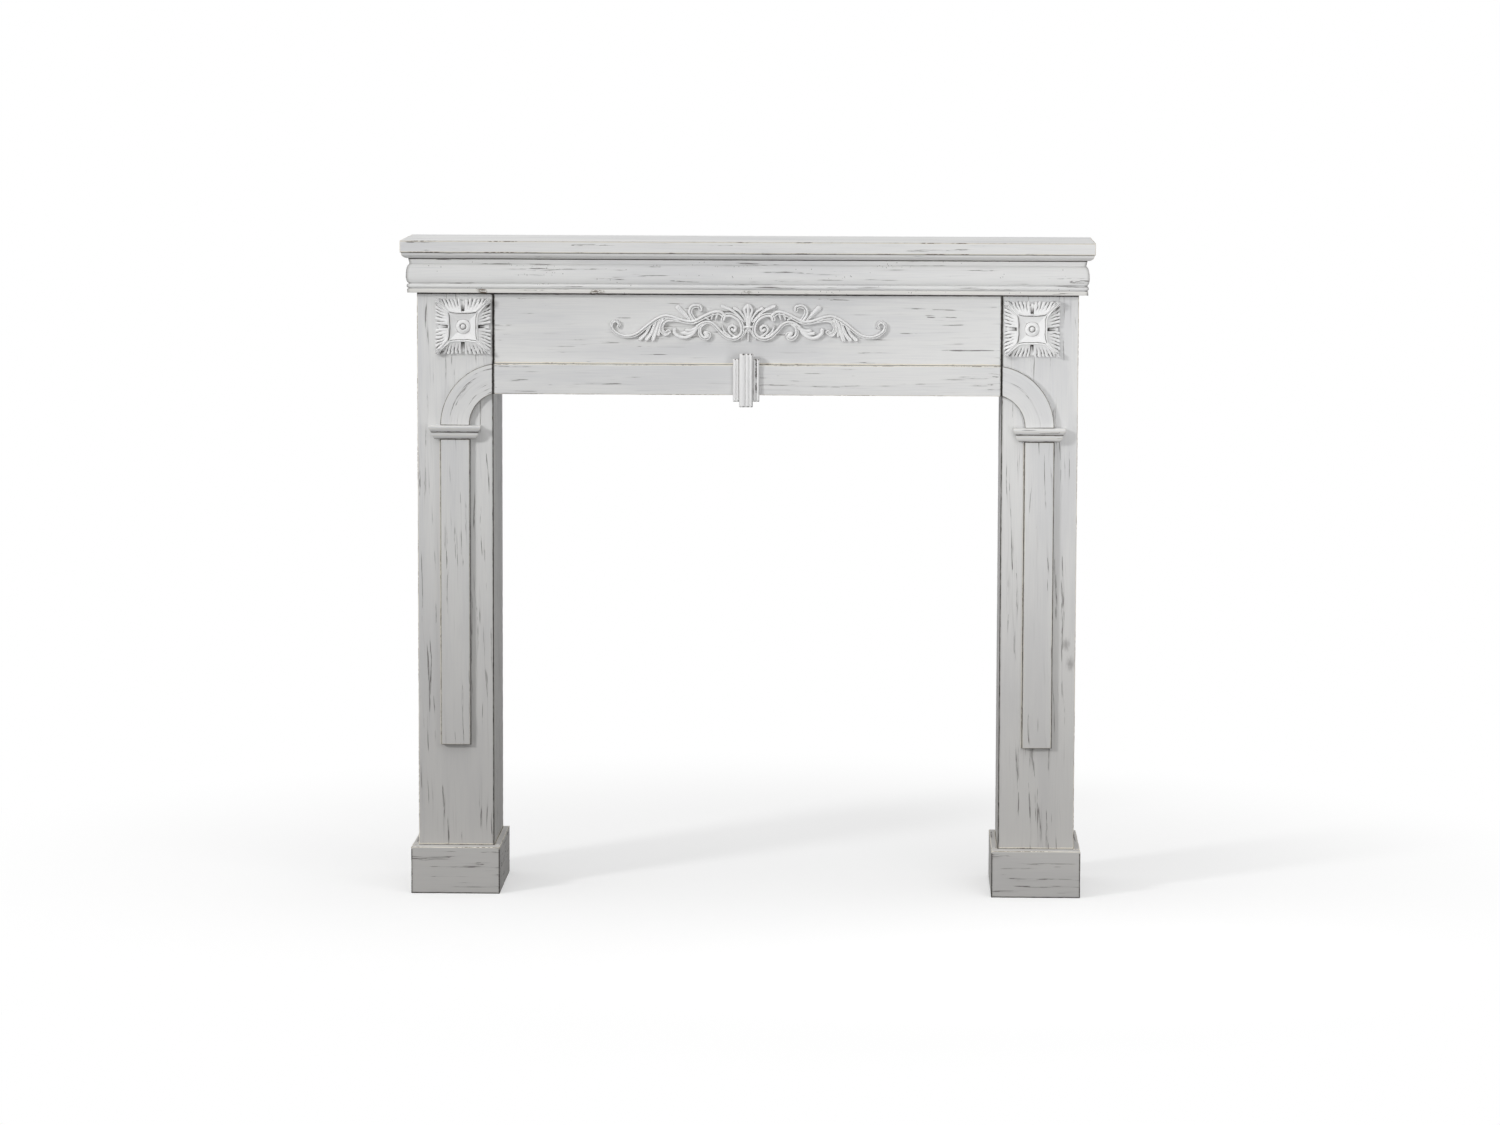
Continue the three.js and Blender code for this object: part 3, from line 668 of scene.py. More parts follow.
class MANTEL_OT_boards(bpy.types.Operator):
    """Boards of the legs, plinths, frieze, rail and strips, with worn arrises"""

    bl_idname = "mantel.boards"
    bl_label = "Boards"

    def execute(self, context):
        settings = context.scene.mantel_boards
        names = [
            f"{part}_{side}_{board}_board"
            for part in ("leg", "plinth")
            for side, _ in SIDES
            for board in ("front", "inner", "outer")
        ]
        names += ["frieze_panel", "lower_rail", "pilaster_strip_left", "pilaster_strip_right"]
        for seed, node in enumerate(names):
            low, high = board_box(node)
            across = node.startswith("plinth") or node in ("frieze_panel", "lower_rail")
            side_board = node.endswith(("inner_board", "outer_board"))
            grain_axis = (1 if side_board else 0) if across else 2
            joints = self.joints(node)
            points, quads, arris = worn_box(low, high, settings, 10 * seed + 3, joints)
            hollow, arris = self.joint_dirt(points, arris, joints)
            hollow = np.maximum(hollow, self.seam_dirt_and_cap_shadow(node, points, arris, low, high))
            grain = grain_space(points, grain_axis, seed + 1)
            fields = {"arris": arris, "hollow": hollow, "grain": grain}
            make_piece("painted_" + node, node, "painted_boards", points, quads, fields)
        return {"FINISHED"}

    def joints(self, node):
        """Lines where another board stands on this one: their axis and place, the axis that
        they run along and from where to where, and how far off they show undercoat."""
        if node == "frieze_panel":
            low, high = board_box("lower_rail")
            return [(2, high[2], 0, low[0], high[0], 3.2 * MM)]
        if not node.startswith("leg"):
            return []
        side = "left" if "left" in node else "right"
        _, plinth_high = board_box(f"plinth_{side}_front_board")
        lines = [(2, plinth_high[2], 0, -1, 1, 2.5 * MM)]
        if "front" in node:
            low, high = board_box(f"pilaster_strip_{side}")
            lines.append((0, low[0], 2, low[2], high[2], -1.5 * MM))
            lines.append((0, high[0], 2, low[2], high[2], 0))
            lines.append((2, low[2], 0, low[0], high[0], 0))
        return lines

    def joint_dirt(self, points, arris, joints):
        """Dirt along each joint, and arris distances that let undercoat show beside it."""
        hollow = np.zeros(len(points))
        for axis, place, other, start, end, bare in joints:
            inside = (points[:, other] > start - MM) & (points[:, other] < end + MM)
            offset = points[:, axis] - place
            reach = 1.0 * MM if bare > 0 else 1.7 * MM
            hollow = np.where(inside, np.maximum(hollow, 1 - np.abs(offset) / reach), hollow)
            if bare:
                beside = np.maximum(np.abs(offset - bare / 2) - 0.3 * MM, 0.65 * MM)
                beside = np.where(inside, beside, 1)
                arris = np.minimum(arris, beside)
        return np.clip(hollow, 0, 1), arris

    def seam_dirt_and_cap_shadow(self, node, points, arris, low, high):
        """Dark dirt in the joints of the legs, the frieze and the cornice above them, darker lines
        along the arrises of the plinths and strips, and painted shadow on the strips under the impost caps.
        """
        reach = 4 * MM
        dirt = np.zeros(len(points))
        if node in ("frieze_panel", "lower_rail"):
            gap = np.minimum(points[:, 0] - low[0], high[0] - points[:, 0])
            dirt = 1 - gap / reach
        _, frieze_high = board_box("frieze_panel")
        rail_low, _ = board_box("lower_rail")
        if node in ("leg_left_front_board", "leg_right_front_board"):
            inner = np.abs(points[:, 0]) - np.abs([low[0], high[0]]).min()
            corner = np.hypot(inner, points[:, 1] - low[1])
            dirt = np.where(points[:, 2] > rail_low[2], 1 - inner / reach, 1 - corner / (3.6 * MM))
        if node.startswith("plinth"):
            dirt = np.where(high[2] - points[:, 2] > 3 * MM, 1 - arris / (3.4 * MM), 0)
        # painted shadow along the top of a strip, under its impost cap; dirt at its back joint; darker along
        # its arrises
        if node.startswith("pilaster"):
            foot = np.minimum(high[2] - points[:, 2], high[1] - points[:, 1])
            dirt = np.maximum(0.95 - foot / (2 * MM), 0.75 - arris / (2.4 * MM))
        if high[2] > frieze_high[2] - MM:
            dirt = np.maximum(dirt, 1.6 - np.abs(frieze_high[2] - points[:, 2]) / (2.4 * MM))
        return np.clip(dirt, 0, 1)


class MANTEL_OT_bands(bpy.types.Operator):
    """Quarter-round bands between the rail and the impost caps"""

    bl_idname = "mantel.bands"
    bl_label = "Arch Bands"

    def execute(self, context):
        settings = context.scene.mantel_boards
        strip_low, strip_high = board_box("pilaster_strip_right")
        inner_radius = settings.band_radius
        outer_radius = inner_radius + strip_high[0] - strip_low[0]
        for seed, (side, sign) in enumerate(SIDES):
            node = f"arch_band_{side}"
            low, high = board_box(node)
            reach = np.abs([low[0], high[0]])
            centre_x = reach.max() - outer_radius
            seam_out = reach.min() - centre_x
            full_turn = math.acos(seam_out / outer_radius)
            flat_low = np.array([0, low[1], inner_radius])
            flat_high = np.array([outer_radius * full_turn, high[1], outer_radius])
            flat, quads, arris = worn_box(flat_low, flat_high, settings, 400 + 10 * seed)
            turn = flat[:, 0] / flat_high[0] * np.arccos(seam_out / flat[:, 2])
            x = sign * (centre_x + flat[:, 2] * np.cos(turn))
            points = np.stack([x, flat[:, 1], low[2] + flat[:, 2] * np.sin(turn)], 1)
            gap = np.abs(np.abs(points[:, 0]) - reach.min())
            foot = high[1] - points[:, 1]
            dirt = [1 - gap / (2.6 * MM), 0.9 - foot / (2 * MM), 0.85 - arris / (2.4 * MM)]
            hollow = np.clip(np.maximum.reduce(dirt), 0, 1)
            fields = {"arris": arris, "hollow": hollow, "grain": grain_space(flat, 0, 60 + seed)}
            make_piece("painted_" + node, node, "painted_boards", points, facing_out(points, quads), fields)
        return {"FINISHED"}


# Shelf, caps and cornice

class MANTEL_OT_shelf(bpy.types.Operator):
    """Shelf with an ovolo worked under its front and ends"""

    bl_idname = "mantel.shelf"
    bl_label = "Shelf"

    def execute(self, context):
        settings = context.scene.mantel_mouldings
        low, high = board_box("shelf_board")
        _, leg_high = board_box("leg_right_front_board")
        leg_low, _ = board_box("leg_left_front_board")
        half, face_y = leg_high[0], leg_low[1]
        edge = high[0] - half
        foot = settings.top_upper_out
        crown = edge - settings.ovolo_quirk
        corners = [(foot - 30 * MM, low[2], 0, 0), (foot - 3 * MM, low[2], 0, 1)]
        facets = 10
        for i in range(facets + 1):
            a = i / facets * math.pi / 2
            out = foot + (crown - foot) * math.sin(a)
            up = low[2] + settings.ovolo_height * (1 - math.cos(a))
            ease = 0.3 * MM if i == 1 else 0
            dirt = 0.8 if i == 0 else 0.3 if 3 <= i <= 8 else 0
            corners.append((out, up, ease, dirt))
        edge_z = low[2] + settings.ovolo_height + settings.ovolo_quirk_height
        corners += [
            (crown, edge_z, 0, 0.95),
            (edge, edge_z, settings.ease, 0.45),
            (edge, high[2], settings.ease, 0.4),
            (edge - 14 * MM, high[2], 0, 0),
            (edge - 24 * MM, high[2], 0, 0),
        ]
        profile = eased_profile(corners)
        points, faces, fields = moulded_slab(0, half, face_y, high[1], profile, settings, 71)
        make_piece("painted_shelf_board", "shelf_board", "painted_boards", points, faces, fields)
        return {"FINISHED"}


class MANTEL_OT_caps(bpy.types.Operator):
    """Two-step impost caps over the strips"""

    bl_idname = "mantel.caps"
    bl_label = "Impost Caps"

    def execute(self, context):
        settings = context.scene.mantel_mouldings
        leg_low, _ = board_box("leg_right_front_board")
        for seed, (side, _) in enumerate(SIDES):
            node = f"impost_cap_{side}"
            low, high = board_box(node)
            face_y = leg_low[1]
            # each tier steps out by the same amount at the front and at the sides
            upper = face_y - low[1]
            lower = settings.cap_lower_out
            half = (high[0] - low[0]) / 2 - upper
            slant = settings.cap_slant
            mid = low[2] + settings.cap_lower_height
            foot_ease = 0.5 * settings.ease
            rows = [(lower - slant - 3 * MM, low[2], 0, 0), (lower - slant, low[2], foot_ease, 0.6)]
            self.add_tier(rows, lower, low[2], mid, slant, settings.ease)
            rows += [(lower - 0.3 * MM, mid, 0, 1), (upper - slant, mid, foot_ease, 0.7)]
            self.add_tier(rows, upper, mid, high[2], slant, settings.ease)
            rows.append((upper - 5 * MM, high[2], 0, 0))
            centre = (low[0] + high[0]) / 2
            points, faces, fields = moulded_slab(
                centre, half, face_y, high[1], eased_profile(rows), settings, 90 + seed
            )
            make_piece("painted_" + node, node, "painted_mouldings", points, faces, fields)
        return {"FINISHED"}

    def add_tier(self, rows, out, low, high, slant, ease):
        """A tier of a cap: a hollow slant at its foot and a rounded edge above it."""
        rows.append((out - 0.45 * slant, low + 0.35 * (high - low), 0, 0.15))
        rows.append((out - 0.1 * slant, low + 0.55 * (high - low), ease, 0))
        rows.append((out, low + 0.7 * (high - low), 0, 0))
        rows.append((out, high - 1.2 * MM, 0, 0))
        rows.append((out - 1.2 * MM, high, ease, 0))


def cornice_corners(settings, height):
    """The cornice's corners: out from the legs, up from its underside, ease radius and hollow."""
    ease = settings.ease
    quirk = settings.quirk_out
    bead_z = settings.fillet_height + settings.quirk_height + settings.bead
    torus_z = bead_z + settings.bead + settings.quirk_height + settings.torus_below
    corners = [
        (-settings.board, 0, 0, 0),
        (settings.fillet_out, 0, ease, 0.2),
        (settings.fillet_out, settings.fillet_height, ease, 0),
        (quirk, settings.fillet_height, 0, 0.3),
    ]

    def round_member(facets, middle, below, above, out):
        for i in range(facets + 1):
            a = (i / facets - 0.5) * math.pi
            reach = below if a < 0 else above
            hollow = 0.28 if i in (0, facets) else 0
            corners.append((quirk + out * math.cos(a), middle + reach * math.sin(a), 0, hollow))

    round_member(12, bead_z, settings.bead, settings.bead, settings.bead)
    round_member(22, torus_z, settings.torus_below, settings.torus_above, settings.torus_out)
    corners += [
        (settings.top_lower_out, height - settings.top_height, 0, 0.25),
        (settings.top_upper_out, height, ease, 0.9),
        (-settings.board, height, 0, 0),
    ]
    return corners


def mitred_moulding_tree():
    """Sweeps a profile along a straight length, cuts mitres and wears its arrises."""
    name = "Mitred Moulding"
    if name in bpy.data.node_groups:
        return bpy.data.node_groups[name]
    inputs = [
        ("Profile", "NodeSocketGeometry", None),
        ("Origin", VECTOR, None),
        ("Along", VECTOR, None),
        ("Outward", VECTOR, None),
        ("Start", FLOAT, 0.0),
        ("End", FLOAT, 1.0),
        ("Start Mitre", FLOAT, 0.0),
        ("End Mitre", FLOAT, 0.0),
        ("Steps", "NodeSocketInt", 20),
        ("Wear", FLOAT, 0.0005),
        ("Seed", FLOAT, 0.0),
        ("Material", "NodeSocketMaterial", None),
    ]
    nodes, given, result = node_group(name, "GeometryNodeTree", inputs, [("Geometry", "NodeSocketGeometry")])
    profile = nodes.add("GeometryNodeMeshToCurve", {0: given["Profile"]}).outputs[0]
    line = nodes.add("GeometryNodeCurvePrimitiveLine", {"End": (1.0, 0.0, 0.0)}).outputs[0]
    line = nodes.add("GeometryNodeResampleCurve", {"Curve": line, "Count": given["Steps"]}).outputs[0]
    factor = nodes.add("GeometryNodeSplineParameter").outputs["Factor"]
    line = nodes.add(
        "GeometryNodeStoreNamedAttribute", {"Geometry": line, "Name": "along", "Value": factor}
    ).outputs[0]
    sweep = {"Curve": line, "Profile Curve": profile, "Fill Caps": True}
    swept = nodes.add("GeometryNodeCurveToMesh", sweep).outputs[0]

    def field(title):
        return nodes.add("GeometryNodeInputNamedAttribute", {"Name": title}).outputs["Attribute"]

    along, out, up, arris = (field(title) for title in ("along", "out", "up", "arris"))
    start = nodes.math("SUBTRACT", given["Start"], nodes.math("MULTIPLY", out, given["Start Mitre"]))
    end = nodes.math("ADD", given["End"], nodes.math("MULTIPLY", out, given["End Mitre"]))
    run = nodes.math("MULTIPLY_ADD", nodes.math("SUBTRACT", end, start), along, start)
    place = nodes.add("ShaderNodeCombineXYZ", {0: run, 1: out, 2: up}).outputs[0]
    offset = nodes.add("ShaderNodeCombineXYZ", {0: given["Seed"]}).outputs[0]
    sample = nodes.add("ShaderNodeVectorMath", {0: place, 1: offset}, operation="ADD").outputs[0]
    dents = nodes.ramp(nodes.noise(nodes.scaled(sample, (70.0, 140.0, 140.0)), 1.0), 0.52, 0.72)
    near = nodes.ramp(arris, 0.0, 0.002, 1.0, 0.0)
    wear = nodes.math("MULTIPLY", nodes.math("MULTIPLY", dents, near), given["Wear"])
    out = nodes.math("SUBTRACT", out, wear)
    total = given["Origin"]
    up_direction = nodes.add("ShaderNodeCombineXYZ", {2: 1.0}).outputs[0]
    for direction, amount in ((given["Along"], run), (given["Outward"], out), (up_direction, up)):
        stretch = {0: direction, "Scale": amount}
        moved = nodes.add("ShaderNodeVectorMath", stretch, operation="SCALE").outputs[0]
        total = nodes.add("ShaderNodeVectorMath", {0: total, 1: moved}, operation="ADD").outputs[0]
    placed = nodes.add("GeometryNodeSetPosition", {"Geometry": swept, "Position": total}).outputs[0]
    real = nodes.add("GeometryNodeRealizeInstances", {0: placed}).outputs[0]
    covered = {"Geometry": real, "Material": given["Material"]}
    dressed = nodes.add("GeometryNodeSetMaterial", covered).outputs[0]
    nodes.tree.links.new(dressed, result["Geometry"])
    return nodes.tree


def made_by_nodes(name, source, tree, values):
    """The mesh that a geometry node tree makes of a source mesh, as a plain object."""
    obj = bpy.data.objects.new(name, source)
    bpy.context.scene.collection.objects.link(obj)
    modifier = obj.modifiers.new(tree.name, "NODES")
    modifier.node_group = tree
    for item in tree.interface.items_tree:
        if item.item_type == "SOCKET" and item.in_out == "INPUT" and item.name in values:
            modifier[item.identifier] = values[item.name]
    bpy.context.view_layer.update()
    evaluated = obj.evaluated_get(bpy.context.evaluated_depsgraph_get())
    mesh = bpy.data.meshes.new_from_object(evaluated)
    obj.modifiers.remove(modifier)
    obj.data = mesh
    mesh.name = name
    if not mesh.polygons:
        raise RuntimeError(f"{tree.name} made no faces for {name}")
    return obj


class MANTEL_OT_cornice(bpy.types.Operator):
    """Cornice moulding in three lengths, mitred at the front corners"""

    bl_idname = "mantel.cornice"
    bl_label = "Cornice"

    def execute(self, context):
        settings = context.scene.mantel_mouldings
        _, leg_high = board_box("leg_right_front_board")
        leg_low, _ = board_box("leg_left_front_board")
        half, face_y = leg_high[0], leg_low[1]
        tree = mitred_moulding_tree()
        for seed, side in enumerate(("front", "left", "right")):
            node = f"cornice_moulding_{side}"
            low, high = board_box(node)
            rows = eased_profile(cornice_corners(settings, high[2] - low[2]), closed=True)
            profile = bpy.data.meshes.new("profile")
            ring = len(rows)
            edges = [(i, (i + 1) % ring) for i in range(ring)]
            profile.from_pydata([(r[0], r[1], 0) for r in rows], edges, [])
            for column, title in enumerate(("out", "up", "arris", "hollow")):
                profile.attributes.new(title, "FLOAT", "POINT").data.foreach_set("value", rows[:, column])
            values = {"Wear": 0.7 * MM, "Seed": 3.0 + seed, "Material": paint_material("painted_mouldings")}
            gap = settings.gap / 2
            if side == "front":
                values.update(
                    Origin=(0.0, face_y, low[2]), Along=(1.0, 0.0, 0.0), Outward=(0.0, -1.0, 0.0),
                    Start=-half + gap, End=half - gap,
                )
                values["Start Mitre"] = values["End Mitre"] = 1.0
            else:
                sign = -1 if side == "left" else 1
                values.update(
                    Origin=(sign * half, 0.0, low[2]), Along=(0.0, 1.0, 0.0),
                    Outward=(float(sign), 0.0, 0.0), Start=face_y + gap, End=float(high[1]),
                )
                values["Start Mitre"] = 1.0
            values["Steps"] = int((values["End"] - values["Start"]) / settings.step)
            obj = made_by_nodes("painted_" + node, profile, tree, values)
            self.face_out(obj.data)
            count = len(obj.data.vertices)
            places, hollow = np.zeros(count * 3), np.zeros(count)
            obj.data.vertices.foreach_get("co", places)
            places = places.reshape(-1, 3)
            # dirt lies in the open mitres
            mitre = np.abs(np.abs(places[:, 0]) - half + places[:, 1] - face_y)
            obj.data.attributes["hollow"].data.foreach_get("value", hollow)
            hollow = np.maximum(hollow, 0.55 * (mitre < 1 * MM)).astype(np.float32)
            obj.data.attributes["hollow"].data.foreach_set("value", hollow)
            grain = grain_space(places, 0 if side == "front" else 1, 130 + seed)
            layer = obj.data.attributes.new("grain", "FLOAT_VECTOR", "POINT")
            layer.data.foreach_set("vector", grain.ravel().astype(np.float32))
            finish_mesh(obj.data, 35)
            dress(obj, node, "painted_mouldings")
        return {"FINISHED"}

    def face_out(self, mesh):
        """Turns the faces round where the sweep left them facing inwards."""
        volume = 0
        for face in mesh.polygons:
            corners = [mesh.vertices[i].co for i in face.vertices]
            for b, c in zip(corners[1:], corners[2:]):
                volume += corners[0].dot(b.cross(c))
        if volume < 0:
            mesh.flip_normals()


# Keystone

class MANTEL_OT_keystone(bpy.types.Operator):
    """Reeded block at the middle of the rail"""

    bl_idname = "mantel.keystone"
    bl_label = "Keystone"

    def execute(self, context):
        settings = context.scene.mantel_keystone
        low, high = board_box("keystone")
        narrow = settings.reed
        beside_wide, near_edge = 6.8 * MM, 5.9 * MM
        widths = np.array([narrow, narrow, settings.wide_reed, beside_wide, narrow, near_edge, narrow])
        widths *= (high[0] - low[0]) / widths.sum()
        cell = 0.5 * MM
        across = np.arange(low[0] - 2 * cell, high[0] + 2 * cell, cell)
        upward = np.arange(low[2] - 2 * cell, high[2] + 2 * cell, cell)
        x, z = np.meshgrid(across, upward, indexing="ij")
        edges = low[0] + np.concatenate([[0], np.cumsum(widths)])
        reed = np.clip(np.searchsorted(edges, x) - 1, 0, len(widths) - 1)
        wing = (reed < 2) | (reed > 4)
        t = np.clip((x - edges[reed]) / widths[reed], 0, 1)
        middle = (low[2] + high[2]) / 2
        half = (high[2] - low[2]) / 2 - np.where(wing, settings.wing_drop, 0)
        proud = high[1] - low[1] - np.where(wing, settings.wing_set_back, 0)
        crown = settings.depth * (1 - np.sqrt(np.maximum(0, 1 - (2 * t - 1) ** 2)))
        left = half - np.abs(z - middle)
        near_end = (1 - left / (2.4 * MM)).clip(0, 1)
        end = settings.depth * 0.9 * (1 - np.sqrt(np.clip(1 - near_end**2, 0, 1)))
        side = np.minimum(x - low[0], high[0] - x)
        inside = np.minimum(left, side)
        height = np.maximum(proud - crown - end, 2 * MM)
        height = blurred(height, 1) * 0.5 + height * 0.5
        points, faces, used = relief_solid(x, z, inside, height, high[1])
        # painted shade: darker in the grooves between the reeds
        groove = np.clip((crown / settings.depth - 0.5) * 1.5, 0, 1)
        notch = np.exp(-(((t - 0.7) / 0.2) ** 2) - (left / (1.7 * MM)) ** 2)
        nought = np.zeros(x.size)
        along_block = np.stack([nought, nought, z.ravel()], 1)
        over_block = np.stack([x.ravel(), nought, z.ravel()], 1)
        chipped = smooth_step(0.45, 0.6, soft_noise(along_block, 12 * MM, 4)).reshape(x.shape)
        ragged = soft_noise(over_block, 1.6 * MM, 5).reshape(x.shape)
        chipped = chipped * (np.abs(x - edges[-2]) < 1.6 * MM * ragged)
        glaze_and_shade = 0.45 * relief_shade(height / MM, cell / MM)
        # painted shade in the grooves and on the sides away from the light, dark notches at the reed ends,
        # and chips along one groove
        hollow = np.maximum.reduce([0.55 * groove, notch, chipped, glaze_and_shade])
        arris = np.minimum(left, 8 * MM)
        fields = {
            "arris": np.tile(np.clip(arris.ravel()[used], 0, None), 2),
            "hollow": np.tile(hollow.ravel()[used], 2),
            "grain": grain_space(points, 2, 160),
        }
        make_piece("painted_keystone", "keystone", "painted_carvings", points, faces, fields, 60)
        return {"FINISHED"}


# Rosettes

class MANTEL_OT_rosettes(bpy.types.Operator):
    """Square leaf bosses on the tops of the legs"""

    bl_idname = "mantel.rosettes"
    bl_label = "Rosettes"

    def execute(self, context):
        settings = context.scene.mantel_rosettes
        for seed, (side, _) in enumerate(SIDES):
            node = f"rosette_{side}"
            low, high = board_box(node)
            half = (high[0] - low[0]) / 2
            rim = high[1] - low[1]
            cells = np.arange(-half - 2 * settings.cell, half + 2.5 * settings.cell, settings.cell)
            u, v = np.meshgrid(cells, cells, indexing="ij")
            height, inside = rosette_relief(u / half, v / half, half, rim, settings, seed)
            centre = (low + high) / 2
            points, faces, used = relief_solid(u + centre[0], v + centre[2], inside, height, high[1])
            # painted shade in the hollows and on the sides that turn down and to the right
            hollow = 0.62 * relief_shade(height / MM, settings.cell / MM)
            fields = {
                "arris": np.full(len(points), 20 * MM),
                "hollow": np.tile(hollow.ravel()[used], 2),
                "grain": grain_space(points, 2, 170 + seed),
            }
            make_piece("painted_" + node, node, "painted_carvings", points, faces, fields, 70)
        return {"FINISHED"}


def rosette_relief(u, v, half, rim, settings, seed):
    """Height and inside distance of a rosette, over places from -1 to 1."""
    toward = np.maximum(np.abs(u), np.abs(v))
    across = np.minimum(np.abs(u), np.abs(v))
    radius = np.hypot(u, v)
    quarter = np.where(np.abs(v) >= np.abs(u), np.sign(v) + 1, np.sign(u) + 2)
    flat = np.stack([u.ravel(), v.ravel(), quarter.ravel() + 5 * seed], 1)
    wander = soft_noise(flat, 0.16, 11 + seed).reshape(u.shape) - 0.5
    ragged = soft_noise(flat, 0.07, 23 + seed).reshape(u.shape) - 0.5
    rim_at = 0.5 + 0.924 * across**4 + 0.02 * wander
    # the panel inside the rim is a four-sided dish with a dome in it
    slope = np.clip((toward - 0.18) / (rim_at - 0.18), 0, 1)
    panel = rim * (0.30 + 0.58 * slope**1.1)
    dome = rim * (0.34 + 0.46 * np.sqrt(np.clip(1 - (radius / 0.255) ** 2, 0, 1)))
    panel = np.where(radius < 0.255, np.maximum(panel, dome), panel)
    panel -= rim * 0.26 * np.exp(-(((radius - 0.10) / 0.030) ** 2))
    panel += rim * 0.12 * np.clip(1 - (radius / 0.06) ** 2, 0, 1)
    groove = rim * 0.14 * np.exp(-(((toward - rim_at + 0.035) / 0.016) ** 2))
    # leaves fall from the rim to the border in flutes that fan out
    fall = np.clip((toward - rim_at) / np.maximum(1 - rim_at, 0.03), 0, 1)
    fan = across * 1.3 / (toward + 0.3)
    phase = fan * settings.flutes + 0.5 + 0.5 * wander
    ridge = np.abs(np.sin(math.pi * phase)) ** 0.7
    bite = smooth_step(0.05, 0.75, fall) * (0.75 + 0.9 * ragged)
    leaf = rim * (0.95 - 0.50 * fall - 0.12 * np.sin(math.pi * fall))
    leaf -= rim * 0.42 * np.clip(bite, 0, 1.2) * (1 - ridge)
    # a deep cut at the middle of each side
    slot = smooth_step(0.075, 0.035, across) * smooth_step(0.02, 0.08, toward - rim_at)
    leaf = leaf * (1 - slot) + slot * rim * (0.12 + 0.12 * fall)
    outside = toward > rim_at
    bead = rim * 0.10 * np.exp(-(((toward - rim_at - 0.012) / 0.022) ** 2)) * (1 - slot)
    # a narrow strip between two ridges runs out to each corner
    strip = (toward - across) / (0.05 + 0.35 * np.clip(0.92 - across, 0, 1) ** 2)
    arm = smooth_step(0.44, 0.54, across) * (strip < 1)
    arm_height = rim * (0.80 + 0.16 * smooth_step(0.3, 0.8, strip) - 0.05 * smooth_step(0.8, 1.0, strip))
    height = np.where(outside, leaf, panel - groove) + bead
    height = np.where(arm > 0, height * (1 - arm) + arm * arm_height, height)
    edge = 1 - 0.075 * (1 - ridge) * smooth_step(0.3, 1, fall) - 0.07 * slot - 0.03 * (ragged + 0.5)
    edge = np.where(strip < 1, 0.99, edge)
    return np.clip(height, 0.6 * MM, rim), (edge - toward) * half


# Scroll ornament

